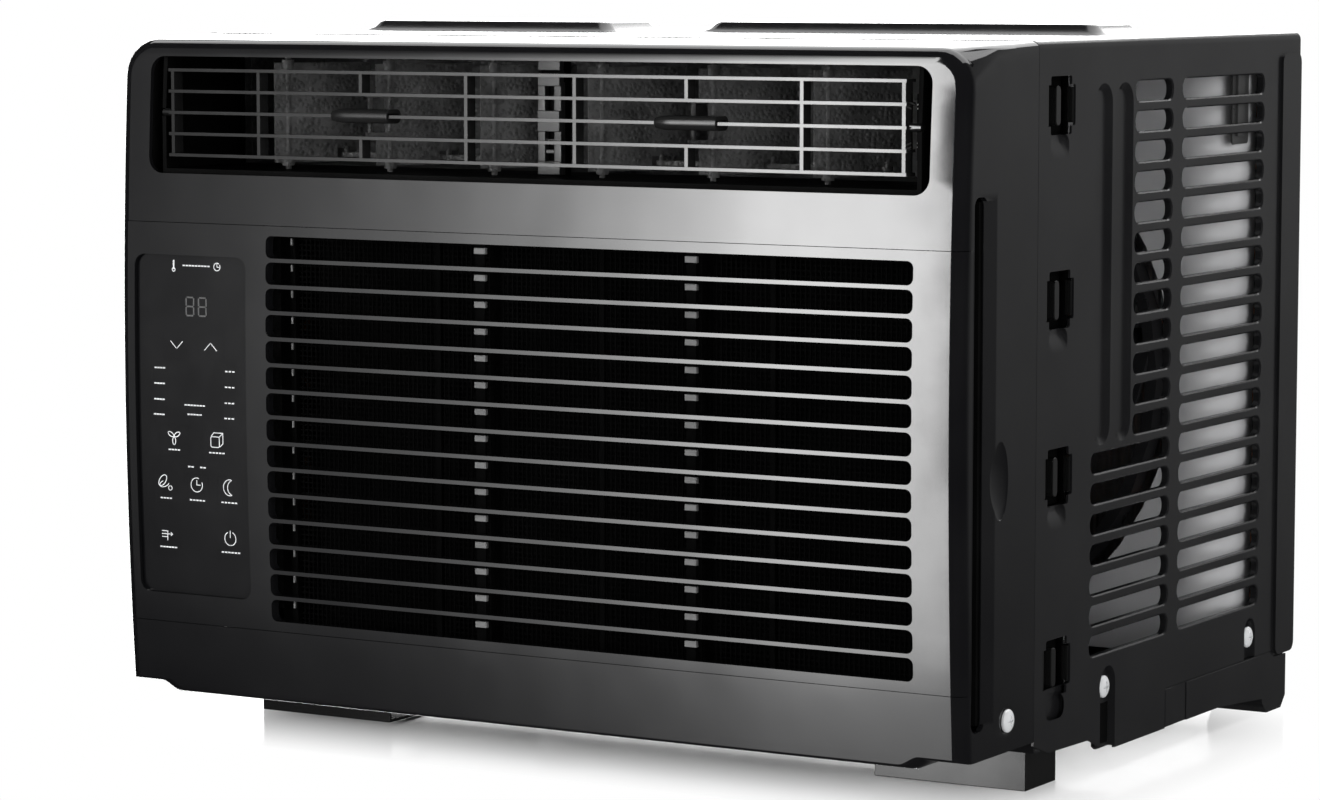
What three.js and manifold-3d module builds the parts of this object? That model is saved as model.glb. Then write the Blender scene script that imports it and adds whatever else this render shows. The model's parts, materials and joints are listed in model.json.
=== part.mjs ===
// A window air conditioner: slotted steel cabinet on a base pan, moulded front bezel with a louvered
// discharge opening, a slotted intake panel with a touch control panel, and the cooling parts and fans.
// Millimetres, X to the right, the front faces -Y, +Z up, origin on the floor under the middle of the body.
import * as THREE from "three";
import { mergeVertices } from "three/addons/utils/BufferGeometryUtils.js";
import Module from "manifold-3d";

const wasm = await Module();
wasm.setup();

// ---------- driving dimensions ----------
const WIDTH = 470;
const DEPTH = 388;
const TOP = 352;
const HALF = WIDTH / 2;
const FRONT = -DEPTH / 2;
const REAR = DEPTH / 2;
const GAP = 0.3;
const SHEET = 1.2;
const WALL = 2.6;

// front bezel and its slightly crowned face
const SEAM = FRONT + 76;
const BULGE = 6;
const BEZEL = { top: TOP - 2, bottom: 24, step: 4.5, stepFrom: 207, stepTo: 218, corner: 18, fillet: 7 };
const FACE_MIDDLE = (BEZEL.top + BEZEL.bottom) / 2;
const FACE_REACH = (BEZEL.top - BEZEL.bottom) / 2;

// discharge opening, louver and vanes
const MOUTH = { half: 216.3, low: 286, high: 342.7, corner: 9 };
const DUCT = { half: 208.5, low: 286.3, high: 342.5, wall: 2.3, back: SEAM - 3.5 };
const LOUVER = { y: FRONT + 8, z: 314, half: 204.5, pitch: 10.45, blade: 1.5, depth: 9, rib: 1.8 };
const POST_PITCH = 60.35;
const VANE = { y: FRONT + 29.5, ahead: 7, behind: 42, thick: 1.6, low: 289.5, high: 338.5, turn: -38 };
const DRIVE = { reach: 10, pin: 1.2, clear: 0.4, rise: 8.6 };
const GRIP = { length: 33, height: 5.4, depth: 13 };
const LINK = { back: 30, width: 5, thick: 2.2, z: 293 };

// intake panel with its slots, and the control panel
const PANEL = { left: -229.7, low: 60, high: 259.7, back: FRONT + 10.5, skin: 3.2 };
const SLOTS = { count: 15, left: -145, right: 209.5, first: 244, pitch: 12.79, height: 10.9, depth: 9 };
const CONTROL = { left: -225, right: -157, low: 74.3, high: 243.8, corner: 6, drop: 0.8, thick: 2, ledge: 3 };
const DISPLAY = { x: -187, z: 218.4, width: 30, height: 20 };
const KEY_TRAVEL = 0.5;
const KEYS = [
  ["key_temp_down", -200.7, 199, 16, 13],
  ["key_temp_up", -179.9, 199, 16, 13],
  ["key_fan", -203.1, 151, 18, 16],
  ["key_mode", -176.7, 151, 18, 16],
  ["key_eco", -209, 127, 15, 16],
  ["key_timer", -189.8, 127, 15, 16],
  ["key_sleep", -169.6, 127, 15, 16],
  ["key_filter", -208.9, 102, 16, 16],
  ["key_power", -170.1, 102, 16, 16],
];

// filter and its slot in the bezel's right side
const FILTER_SLOT = { front: FRONT + 12.5, back: FRONT + 22, low: 42, high: 283 };
const FILTER = { left: -146, right: 231, front: FRONT + 14.5, thick: 5, low: 46, high: 279, rim: 9, mesh: 1 };

// hole for the mains cord in the bezel's underside, with its rubber grommet
const CORD_HOLE = { x: -190, y: FRONT + 40, radius: 7.5, bore: 4.2, lip: 9.5, rise: 1.6 };

// cabinet side
const GRILLE = { rows: 19, top: 331.2, pitch: 14.55, height: 9.8 };
const GRILLE_COLUMNS = { rear: [44.5, 146.5], short: [-11, 32.5], long: [-58, 32.5], shortRows: 12 };
const SNAPS = { tops: [335.4, 245.6, 163.2, 73.9], height: 27, from: -109, width: 32, bar: 7 };
const CABINET_EDGE = 4;
const GROOVES = [[-54, -41], [-31, -18]];
const GROOVE = { low: 160, high: 331, deep: 2.4, margin: 2 };
const REAR_LIP = { side: 30, top: 11 };
const RAIL = { from: 170.5, to: 187, low: 29.4, high: 341.3, proud: 1.5 };
const PLATEAUS = [[-219, 5, -60, 60], [-29, 40, 192, 92]];
const PLATEAU_RISE = 5;
const SKIRT = { front: 20, middle: 12, rear: 32, frontTo: -40, middleTo: 31 };

// base pan and feet
const PAN = { half: HALF - WALL - 0.6, front: FRONT + 26, back: REAR - 4, sheet: 1.5, rim: 50 };
const PAN_FLOOR = [[PAN.front, 31.7], [SEAM + 2, 31.7], [SEAM + 8, 21.5], [-45, 21.5], [-20, 12.5],
  [100, 12.5], [150, 8.5], [PAN.back, 8.5]];
const REAR_FOOT = { from: 156, to: 187, inner: 204, outer: HALF - 0.5, round: 6 };
const FRONT_FOOT = { inner: 140, outer: 220, y: -95, depth: 33, top: 21.2, sheet: 1.5 };
const SCREW_HEIGHT = 43;
const SCREWS = { bezel: FRONT + 47.3, cabinet_front: -39, cabinet_rear: 137 };
const SCREW = { head: 5.5, rise: 2.4, shank: 2, length: 7 };

// air side: shaft line, blower, scroll, coils
const AXIS = { x: 50, z: 176 };
const PARTITION_Y = -76.5;
const SCROLL = { front: SEAM - 3, back: -79, wall: 2.4, inlet: 72, start: 92, grow: 28 };
const BLOWER = { radius: 84, front: SEAM + 2, back: -84, blades: 16, hub: 12 };
const SHAFT = { radius: 4, front: SEAM + 4, back: 130 };
const EVAPORATOR = {
  left: -138, right: 200, front: FRONT + 28, back: FRONT + 64, low: 58, high: 262, rows: 6,
};
const MOTOR = { radius: 47, front: -64, back: 32 };
const FAN = { hub: 26, tip: 136, ring: 6, front: 98, back: 126, blades: 5, pitch: 32 };
const SHROUD = { half: 226, front: 120, back: 158, low: 34, high: 345, bend: 22, wall: 2.5, hole: 148 };
const CONDENSER = { half: 206, front: 161, back: 187, low: 36, high: 338, rows: 8 };
const TUBE = 3.5;

// compressor corner
const COMPRESSOR = { x: -138, y: 10, radius: 56, low: 47.5, high: 230, bolt: 66 };
const GROMMET = { radius: 10, low: 30.3, high: 44 };
const STUD = 3;
const ACCUMULATOR = { x: -209, y: 66, radius: 17, low: 70, high: 190 };
const CONTROL_BOX = {
  left: -227, right: -161, low: 66, high: 258, front: FRONT + 10.8, back: FRONT + 68, wall: 2,
};
const BOARD = { front: FRONT + 12, thick: 1.6, inset: 2.8, switchRise: 1 };

// ---------- materials ----------
function finish(color, roughness, metalness) {
  return new THREE.MeshStandardMaterial({ color, roughness, metalness });
}
const LOOK = {
  gloss: finish(0x17171a, 0.22, 0),
  satin: finish(0x222225, 0.4, 0),
  paint: finish(0x2a2a2c, 0.45, 0.2),
  glass: finish(0x0c0c0e, 0.1, 0),
  duct: finish(0x3a3a3c, 0.6, 0),
  grey: finish(0xa9abad, 0.35, 0),
  zinc: finish(0xb4b6b8, 0.35, 0.9),
  fins: finish(0x8d9194, 0.4, 0.9),
  copper: finish(0xb06a3c, 0.35, 0.9),
  rubber: finish(0x1c1c1c, 0.8, 0),
  board: finish(0x1f5a3a, 0.6, 0),
  foam: finish(0xd8d8d4, 0.8, 0),
};

// ---------- solids ----------
function solid(geometry) {
  const bare = geometry.index ? geometry.toNonIndexed() : geometry;
  bare.deleteAttribute("normal");
  bare.deleteAttribute("uv");
  const merged = mergeVertices(bare, 1e-4);
  const vertProperties = new Float32Array(merged.attributes.position.array);
  const triVerts = new Uint32Array(merged.index.array);
  return new wasm.Manifold(new wasm.Mesh({ numProp: 3, vertProperties, triVerts }));
}

const join = (parts) => parts.reduce((whole, part) => whole.add(part));
const cut = (body, tools) => tools.reduce((whole, tool) => whole.subtract(tool), body);

function box(x0, y0, z0, x1, y1, z1) {
  const block = new THREE.BoxGeometry(x1 - x0, y1 - y0, z1 - z0);
  block.translate((x0 + x1) / 2, (y0 + y1) / 2, (z0 + z1) / 2);
  return solid(block);
}

// the same box on the right and mirrored on the left
const boxBothSides = (x0, y0, z0, x1, y1, z1) => [box(x0, y0, z0, x1, y1, z1), box(-x1, y0, z0, -x0, y1, z1)];

const BASES = {
  x: new THREE.Matrix4().set(0, 0, 1, 0, 1, 0, 0, 0, 0, 1, 0, 0, 0, 0, 0, 1),
  y: new THREE.Matrix4().set(1, 0, 0, 0, 0, 0, -1, 0, 0, 1, 0, 0, 0, 0, 0, 1),
  z: new THREE.Matrix4(),
};

// A flat outline extruded along an axis: an X outline holds (y, z), a Y outline (x, z), a Z outline (x, y).
function prism(axis, shape, from, to, options = {}) {
  const depth = to - from;
  const settings = { depth, bevelEnabled: false, curveSegments: 3, ...options };
  const geometry = new THREE.ExtrudeGeometry(shape, settings);
  geometry.applyMatrix4(BASES[axis]);
  if (axis === "x") geometry.translate(from, 0, 0);
  if (axis === "y") geometry.translate(0, to, 0);
  if (axis === "z") geometry.translate(0, 0, from);
  return solid(geometry);
}

function polygon(points) {
  return new THREE.Shape(points.map(([a, b]) => new THREE.Vector2(a, b)));
}

function roundedRect(a0, b0, a1, b1, radius) {
  const shape = new THREE.Shape();
  shape.moveTo(a0 + radius, b0);
  shape.lineTo(a1 - radius, b0);
  shape.absarc(a1 - radius, b0 + radius, radius, -Math.PI / 2, 0);
  shape.lineTo(a1, b1 - radius);
  shape.absarc(a1 - radius, b1 - radius, radius, 0, Math.PI / 2);
  shape.lineTo(a0 + radius, b1);
  shape.absarc(a0 + radius, b1 - radius, radius, Math.PI / 2, Math.PI);
  shape.lineTo(a0, b0 + radius);
  shape.absarc(a0 + radius, b0 + radius, radius, Math.PI, 1.5 * Math.PI);
  return shape;
}

// a rectangle with its corners cut off
function clippedRect(a0, b0, a1, b1, clip) {
  return polygon([[a0 + clip, b0], [a1 - clip, b0], [a1, b0 + clip], [a1, b1 - clip], [a1 - clip, b1],
    [a0 + clip, b1], [a0, b1 - clip], [a0, b0 + clip]]);
}

// A turned solid about a line along an axis; the profile holds (radius, distance along the axis).
function turned(axis, profile, at, segments = 16) {
  const points = profile.map(([r, d]) => new THREE.Vector2(r, d));
  const geometry = new THREE.LatheGeometry(points, segments);
  if (axis === "z") geometry.rotateX(Math.PI / 2);
  if (axis === "x") geometry.rotateZ(-Math.PI / 2);
  geometry.translate(...at);
  return solid(geometry);
}

// a plain round bar along an axis from one distance to another; at holds the other two coordinates in place
function bar(axis, radius, from, to, at, segments = 16) {
  return turned(axis, [[0, from], [radius, from], [radius, to], [0, to]], at, segments);
}

function tube(points, radius, steps, sides = 8) {
  const path = new THREE.CatmullRomCurve3(points.map((p) => new THREE.Vector3(...p)), false, "centripetal");
  const section = new THREE.Shape();
  section.absarc(0, 0, radius, 0, 2 * Math.PI);
  const curveSegments = sides / 2;
  return solid(new THREE.ExtrudeGeometry(section, { steps, curveSegments, extrudePath: path }));
}

const root = new THREE.Group();
root.name = "window_air_conditioner";

function add(name, body, material) {
  const data = body.getMesh();
  const geometry = new THREE.BufferGeometry();
  geometry.setAttribute("position", new THREE.BufferAttribute(new Float32Array(data.vertProperties), 3));
  geometry.setIndex(new THREE.BufferAttribute(new Uint32Array(data.triVerts), 1));
  geometry.computeVertexNormals();
  const part = new THREE.Mesh(geometry, material);
  part.name = name;
  root.add(part);
}

// ---------- front bezel form ----------
const faceY = (z) => FRONT + BULGE * ((z - FACE_MIDDLE) / FACE_REACH) ** 2;

// everything behind the crowned face when that face is moved back by an offset
function behindFace(offset) {
  const steps = 8;
  const points = [[REAR, BEZEL.bottom - 10], [REAR, BEZEL.top + 10]];
  for (let i = steps; i >= 0; i--) {
    const z = BEZEL.bottom - 10 + ((BEZEL.top - BEZEL.bottom + 20) * i) / steps;
    points.push([faceY(z) + offset, z]);
  }
  return prism("x", polygon(points), -HALF - 5, HALF + 5);
}

function bezelOutline(inset) {
  const right = HALF - inset;
  const top = BEZEL.top - inset;
  const low = BEZEL.bottom + inset;
  const raised = low + BEZEL.step;
  const r = BEZEL.corner - inset;
  const shape = new THREE.Shape();
  shape.moveTo(-right, raised);
  shape.lineTo(-BEZEL.stepTo + inset, raised);
  shape.lineTo(-BEZEL.stepFrom + inset, low);
  shape.lineTo(BEZEL.stepFrom - inset, low);
  shape.lineTo(BEZEL.stepTo - inset, raised);
  shape.lineTo(right, raised);
  shape.lineTo(right, top - r);
  shape.absarc(right - r, top - r, r, 0, Math.PI / 2);
  shape.lineTo(-right + r, top);
  shape.absarc(-right + r, top - r, r, Math.PI / 2, Math.PI);
  return shape;
}

// the bezel's outside as a full block with rounded front edges, open-ended behind the seam
function bezelBlock(inset, back) {
  const bevel = {
    bevelEnabled: true,
    bevelThickness: BEZEL.fillet,
    bevelSize: BEZEL.fillet,
    bevelOffset: -BEZEL.fillet,
    bevelSegments: 3,
    curveSegments: 4,
  };
  const block = prism("y", bezelOutline(inset), FRONT + inset + BEZEL.fillet, REAR, bevel);
  return block.intersect(behindFace(inset)).intersect(box(-HALF, FRONT, 0, HALF, back, TOP));
}

const openingY = (shape) => prism("y", shape, FRONT - 5, FRONT + 20);

function makeBezel() {
  const shell = bezelBlock(0, SEAM - GAP).subtract(bezelBlock(WALL, REAR));
  const mouth = openingY(roundedRect(-MOUTH.half, MOUTH.low, MOUTH.half, MOUTH.high, MOUTH.corner));
  const seat = box(PANEL.left, FRONT - 5, PANEL.low - GAP, HALF + 5, PANEL.back, PANEL.high + GAP);
  const slotShape = roundedRect(FILTER_SLOT.front, FILTER_SLOT.low, FILTER_SLOT.back, FILTER_SLOT.high, 4.5);
  const filterSlot = prism("x", slotShape, HALF - WALL - 5, HALF + 5);
  const cordHole = bar("z", CORD_HOLE.radius + GAP, 0, BEZEL.bottom + 10, [CORD_HOLE.x, CORD_HOLE.y, 0]);
  const screwHoles = screwHole(SCREWS.bezel);
  return cut(shell, [mouth, seat, filterSlot, cordHole, ...screwHoles]);
}

// a ring that lines the cord hole, with a lip under and above the bezel's bottom wall
function makeCordGrommet() {
  const { x, y, radius, bore, lip, rise } = CORD_HOLE;
  const under = BEZEL.bottom - GAP;
  const over = BEZEL.bottom + WALL + GAP;
  const profile = [[bore, under - rise], [lip, under - rise], [lip, under], [radius, under], [radius, over],
    [lip, over], [lip, over + rise], [bore, over + rise], [bore, under - rise]];
  return turned("z", profile, [x, y, 0], 16);
}

// ---------- screws ----------
const screwHole = (y) => [bar("x", SCREW.shank + GAP, -HALF - 5, HALF + 5, [0, y, SCREW_HEIGHT], 8)];

function makeScrew(side, y, seatX) {
  const { head, rise, shank, length } = SCREW;
  const shoulder = [head - 0.8, rise - 0.6];
  const profile = [[0, -length], [shank, -length], [shank, GAP], [head, GAP], shoulder, [0, rise]];
  const screw = turned("x", profile, [0, 0, 0], 8);
  const turnedSide = side < 0 ? screw.mirror([1, 0, 0]) : screw;
  return turnedSide.translate([side * seatX, y, SCREW_HEIGHT]);
}

function addScrews() {
  for (const [side, sideName] of [[1, "right"], [-1, "left"]]) {
    for (const [place, y] of Object.entries(SCREWS)) {
      add(`${place}_screw_${sideName}`, makeScrew(side, y, HALF), LOOK.zinc);
    }
  }
}

// ---------- intake panel, overlay, display and keys ----------
// a slab that follows the crowned face, between two depths behind it, within an outline
const faceSlab = (shape, near, far) =>
  openingY(shape).intersect(behindFace(near)).subtract(behindFace(far));

function controlRect(grow) {
  const { left, right, low, high, corner } = CONTROL;
  return roundedRect(left - grow, low - grow, right + grow, high + grow, corner + grow);
}

function makeIntakePanel() {
  const { left, low, high, back, skin } = PANEL;
  const region = box(left + GAP, FRONT - 5, low, HALF + 5, back - GAP, high);
  const block = bezelBlock(0, SEAM).intersect(region);
  const hollow = bezelBlock(skin, REAR);
  const behindSlots = box(SLOTS.left - 4, FRONT, low, SLOTS.right + 4, FRONT + SLOTS.depth, high);
  const grilleBack = behindSlots.intersect(block);
  const seatBack = faceSlab(controlRect(2.5), 0, CONTROL.drop + CONTROL.thick + WALL).intersect(block);
  const panel = join([block.subtract(hollow), grilleBack, seatBack]);
  const recess = faceSlab(controlRect(0), -5, CONTROL.drop + CONTROL.thick + GAP);
  const window = openingY(controlRect(-CONTROL.ledge));
  const slots = [];
  for (let i = 0; i < SLOTS.count; i++) {
    const z = SLOTS.first - i * SLOTS.pitch;
    slots.push(box(SLOTS.left, FRONT - 5, z, SLOTS.right, FRONT + 20, z + SLOTS.height));
  }
  const rib = (x) => box(x - 2.7, FRONT + 6.5, low + 2, x + 2.7, FRONT + SLOTS.depth, high - 2);
  const ribs = [-25, 91].map(rib);
  return join([cut(panel, [recess, window, ...slots]), ...ribs]);
}

function keyShape(x, z, width, height, gap) {
  const [halfW, halfH] = [width / 2 - gap, height / 2 - gap];
  const [x0, x1, z0, z1] = [x - halfW, x + halfW, z - halfH, z + halfH];
  return polygon([[x0, z0], [x1, z0], [x1, z1], [x0, z1]]);
}

function makeOverlay() {
  const sheet = faceSlab(controlRect(-GAP), CONTROL.drop, CONTROL.drop + CONTROL.thick);
  const windows = KEYS.map(([, x, z, w, h]) => openingY(keyShape(x, z, w, h, -GAP / 2)));
  const display = openingY(keyShape(DISPLAY.x, DISPLAY.z, DISPLAY.width, DISPLAY.height, -GAP / 2));
  return cut(sheet, [...windows, display]);
}

function makeDisplay() {
  return faceSlab(keyShape(DISPLAY.x, DISPLAY.z, DISPLAY.width, DISPLAY.height, GAP / 2), CONTROL.drop, 2.4);
}

function makeKey(x, z, width, height) {
  const cap = faceSlab(keyShape(x, z, width, height, GAP / 2), CONTROL.drop, CONTROL.drop + CONTROL.thick);
  const stemEnd = BOARD.front - BOARD.switchRise - KEY_TRAVEL - 0.2;
  return cap.add(bar("y", 2.2, faceY(z) + CONTROL.drop + 1, stemEnd, [x, 0, z], 6));
}

function makeBoard() {
  const { left, right, low, high } = CONTROL_BOX;
  const { front, thick, inset, switchRise } = BOARD;
  const sheet = box(left + inset, front, low + inset, right - inset, front + thick, high - inset);
  const switches = KEYS.map(([, x, z]) => box(x - 3, front - switchRise, z - 3, x + 3, front + 0.5, z + 3));
  const relay = box(-215, front + 1, 215, -195, front + 18, 235);
  return join([sheet, ...switches, relay]);
}

function makeControlBox() {
  const { left, right, low, high, front, back, wall } = CONTROL_BOX;
  const outer = box(left, front, low, right, back, high);
  const inner = box(left + wall, front - 1, low + wall, right - wall, back - wall, high - wall);
  const posts = [];
  for (const x of [left + 6, right - 6]) {
    for (const z of [low + 6, high - 6]) {
      posts.push(box(x - 3, BOARD.front + BOARD.thick + GAP, z - 3, x + 3, back - 1, z + 3));
    }
  }
  return join([outer.subtract(inner), ...posts]);
}

// ---------- air filter ----------
function makeFilter() {
  const { left, right, front, thick, low, high, rim, mesh } = FILTER;
  const frame = box(left, front, low, right, front + thick, high);
  const window = box(left + rim, front - 1, low + rim, right - rim, front + thick + 1, high - rim);
  const middle = front + thick / 2;
  const hold = rim - 1;
  const sheet = box(left + hold, middle - mesh / 2, low + hold, right - hold, middle + mesh / 2, high - hold);
  const bars = [0.25, 0.5, 0.75].map((share) => {
    const x = left + share * (right - left);
    return box(x - 1.5, front + 1, low + rim - 1, x + 1.5, front + thick - 1, high - rim + 1);
  });
  return join([frame.subtract(window), sheet, ...bars]);
}

// ---------- discharge duct, louver, grips, vanes and links ----------
const POSTS = [-2.5, -1.5, -0.5, 0.5, 1.5, 2.5].map((n) => n * POST_PITCH);
const VANE_NAMES = ["left_outer", "left_middle", "left_inner", "right_inner", "right_middle", "right_outer"];

function makeDuct() {
  const { half, low, high, wall, back } = DUCT;
  const front = FRONT + 6.5;
  const outer = box(-half - wall, front, low - wall, half + wall, back, high + wall);
  const inner = box(-half, front - 1, low, half, back + 1, high);
  const column = box(-6.4, VANE.y + 4.5, low - 1, 6.4, VANE.y + 10.5, high + 1);
  const bores = POSTS.map((x) => bar("z", 1.9, low - 5, high + 5, [x, VANE.y, 0], 8));
  const pivots = bar("x", 2.4, -half - 5, half + 5, [0, LOUVER.y, LOUVER.z], 12);
  const clearOfFace = behindFace(WALL + GAP);
  return cut(outer.subtract(inner), [...bores, pivots]).add(column).intersect(clearOfFace);
}

function makeLouver() {
  const { y, z, half, pitch, blade, depth, rib } = LOUVER;
  const parts = [];
  for (let i = -2; i <= 2; i++) {
    const level = z + i * pitch;
    parts.push(box(-half, y - depth / 2, level - blade / 2, half, y + depth / 2, level + blade / 2));
  }
  const ribDepth = depth - 2;
  const upright = (x, z0, z1) => box(x - rib / 2, y - ribDepth / 2, z0, x + rib / 2, y + ribDepth / 2, z1);
  const outer = 2.5 * POST_PITCH;
  const inner = 0.5 * POST_PITCH;
  const fullRibs = [-half + rib, -outer, -inner, inner, outer, half - rib];
  for (const x of fullRibs) {
    parts.push(upright(x, z - 2 * pitch, z + 2 * pitch));
  }
  for (const x of [-1.5 * POST_PITCH, 1.5 * POST_PITCH]) {
    parts.push(upright(x, z - 2 * pitch, z - pitch));
    parts.push(upright(x, z + pitch, z + 2 * pitch));
  }
  for (const side of [1, -1]) {
    const [from, to] = side > 0 ? [half - 1, DUCT.half + 1.8] : [-DUCT.half - 1.8, 1 - half];
    parts.push(bar("x", 2, from, to, [0, y, z], 12));
  }
  return join(parts);
}

const radians = (degrees) => (degrees * Math.PI) / 180;

// the drive pin's place when the vane stands at its rest turn
const restPin = () => ({
  dx: DRIVE.reach * Math.sin(radians(VANE.turn)),
  y: VANE.y - DRIVE.reach * Math.cos(radians(VANE.turn)),
});

function makeGrip(x) {
  const { length, height, depth } = GRIP;
  const { y, z, blade } = LOUVER;
  const front = y - LOUVER.depth / 2 - 1.5;
  const body = box(x - length / 2, front, z - height / 2, x + length / 2, front + depth, z + height / 2);
  const tunnelY = LOUVER.depth / 2 + GAP;
  const tunnelZ = blade / 2 + GAP;
  const tunnel = box(x - length, y - tunnelY, z - tunnelZ, x + length, y + tunnelY, z + tunnelZ);
  const pinX = x + restPin().dx;
  const inner = DRIVE.pin + DRIVE.clear;
  const tines = [1, -1].map((side) => {
    const outer = inner + 2;
    const points = [
      [pinX + side * inner, front + depth - 1],
      [pinX + side * (outer + 1), front + depth - 1],
      [pinX + side * outer, VANE.y - 5],
      [pinX + side * inner, VANE.y - 5],
    ];
    return prism("z", polygon(side > 0 ? points : points.reverse()), z - 1.5, z + 1.5);
  });
  return join([body.subtract(tunnel), ...tines]);
}

function makeVane(x, driven) {
  const { y, ahead, behind, thick, low, high, turn } = VANE;
  const middle = (low + high) / 2;
  const plate = box(-thick / 2, -ahead, low, thick / 2, behind, high);
  const post = bar("z", 1.5, DUCT.low - 1.6, DUCT.high + 1.6, [0, 0, 0], 8);
  const knobSpans = [[low - 1.5, low + 3], [high - 3, high + 1.5]];
  const knobs = knobSpans.map(([z0, z1]) => bar("z", 3.2, z0, z1, [0, 0, 0], 8));
  const linkPin = bar("z", 1.4, LINK.z - 2, LINK.z + 4, [0, LINK.back, 0], 8);
  const linkNotch = box(-5, LINK.back - 5, low - 1, 5, LINK.back + 5, LINK.z + LINK.thick + 1);
  const pieces = [plate.subtract(linkNotch), post, ...knobs, linkPin];
  let vane = join(pieces);
  if (driven) {
    const window = box(-5, -ahead - 1, LOUVER.z - DRIVE.rise, 5, -2.6, LOUVER.z + DRIVE.rise);
    const tip = -DRIVE.reach - 2;
    const finShape = polygon([[-2, 4], [-2, tip], [2, tip], [2, 4], [0.9, 26], [-0.9, 26]]);
    const fins = [1, -1].map((side) => {
      const z0 = LOUVER.z + side * DRIVE.rise + (side > 0 ? 0 : -1.4);
      return prism("z", finShape, z0, z0 + 1.4);
    });
    const reach = DRIVE.rise + 1;
    const pin = bar("z", DRIVE.pin, LOUVER.z - reach, LOUVER.z + reach, [0, -DRIVE.reach, 0], 8);
    vane = join([vane.subtract(window), ...fins, pin]);
  }
  return vane.rotate([0, 0, turn]).translate([x, y, 0]);
}

// where a vane's link pin stands at rest
const linkPinAt = (x) => [
  x - LINK.back * Math.sin(radians(VANE.turn)),
  VANE.y + LINK.back * Math.cos(radians(VANE.turn)),
];

function makeLink(posts) {
  const pins = posts.map(linkPinAt);
  const y = pins[0][1];
  const half = LINK.width / 2;
  const shape = roundedRect(pins[0][0] - half, y - half, pins[2][0] + half, y + half, half);
  const strip = prism("z", shape, LINK.z - LINK.thick / 2, LINK.z + LINK.thick / 2);
  return cut(strip, pins.map(([px, py]) => bar("z", 1.8, LINK.z - 5, LINK.z + 5, [px, py, 0], 8)));
}

function addDischarge() {
  add("discharge_duct", makeDuct(), LOOK.duct);
  add("horizontal_louver", makeLouver(), LOOK.gloss);
  add("louver_grip_left", makeGrip(POSTS[1]), LOOK.gloss);
  add("louver_grip_right", makeGrip(POSTS[4]), LOOK.gloss);
  POSTS.forEach((x, i) => add(`vane_${VANE_NAMES[i]}`, makeVane(x, i === 1 || i === 4), LOOK.satin));
  add("vane_link_left", makeLink(POSTS.slice(0, 3)), LOOK.satin);
  add("vane_link_right", makeLink(POSTS.slice(3)), LOOK.satin);
}

// ---------- cabinet ----------
function cabinetOutline(inset) {
  const right = HALF - inset;
  const top = TOP - inset;
  const r = CABINET_EDGE - inset;
  const shape = new THREE.Shape();
  shape.moveTo(-right, SKIRT.middle - inset);
  shape.lineTo(right, SKIRT.middle - inset);
  shape.lineTo(right, top - r);
  shape.absarc(right - r, top - r, r, 0, Math.PI / 2);
  shape.lineTo(-right + r, top);
  shape.absarc(-right + r, top - r, r, Math.PI / 2, Math.PI);
  return shape;
}

const sideOpening = (y0, z0, y1, z1) => box(-HALF - 5, y0, z0, HALF + 5, y1, z1);

function grilleSlots() {
  const slots = [];
  for (let row = 0; row < GRILLE.rows; row++) {
    const high = GRILLE.top - row * GRILLE.pitch;
    const low = high - GRILLE.height;
    const frontColumn = row < GRILLE_COLUMNS.shortRows ? GRILLE_COLUMNS.short : GRILLE_COLUMNS.long;
    for (const [y0, y1] of [frontColumn, GRILLE_COLUMNS.rear]) {
      slots.push(sideOpening(y0, low, y1, high));
    }
  }
  return slots;
}

function snapWindows() {
  const windows = [];
  const { from, width, bar: barWidth, height } = SNAPS;
  const each = (width - barWidth) / 2;
  for (const top of SNAPS.tops) {
    for (const y of [from, from + each + barWidth]) {
      windows.push(box(-HALF - 5, y, top - height, HALF + 5, y + each, top));
    }
  }
  return windows;
}

function makeCabinet() {
  const from = SEAM;
  const hollow = prism("y", cabinetOutline(SHEET), from - 5, REAR + 5);
  const skin = prism("y", cabinetOutline(0), from, REAR).subtract(hollow);
  const raised = PLATEAUS.map(([x0, y0, x1, y1]) => box(x0, y0, TOP - 1, x1, y1, TOP + PLATEAU_RISE));
  const under = PLATEAUS.map(([x0, y0, x1, y1]) =>
    box(x0 + SHEET, y0 + SHEET, TOP - 3, x1 - SHEET, y1 - SHEET, TOP + PLATEAU_RISE - SHEET));
  const rails = boxBothSides(HALF - 1, RAIL.from, RAIL.low, HALF + RAIL.proud, RAIL.to, RAIL.high);
  const { low, high, deep, margin } = GROOVE;
  const pressed = GROOVES.flatMap(([y0, y1]) =>
    boxBothSides(HALF - SHEET - deep, y0 - margin, low - margin, HALF - 0.5, y1 + margin, high + margin));
  const grooves = GROOVES.flatMap(([y0, y1]) => boxBothSides(HALF - deep, y0, low, HALF + 5, y1, high));
  const lip = prism("y", cabinetOutline(0), REAR - SHEET, REAR);
  const lipHole = box(-HALF + REAR_LIP.side, 0, 0, HALF - REAR_LIP.side, REAR + 5, TOP - REAR_LIP.top);
  const shell = cut(join([skin, ...raised, ...rails, ...pressed, lip.subtract(lipHole)]), under);
  const skirtCuts = [
    box(-HALF - 5, from - 5, 0, HALF + 5, SKIRT.frontTo, SKIRT.front),
    box(-HALF - 5, SKIRT.middleTo, 0, HALF + 5, RAIL.from, SKIRT.rear),
    box(-HALF - 5, RAIL.from - 1, 0, HALF + 5, REAR + 5, RAIL.low),
  ];
  const screwHoles = [...screwHole(SCREWS.cabinet_front), ...screwHole(SCREWS.cabinet_rear)];
  return cut(shell, [...grilleSlots(), ...snapWindows(), ...skirtCuts, ...screwHoles, ...grooves]);
}

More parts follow.
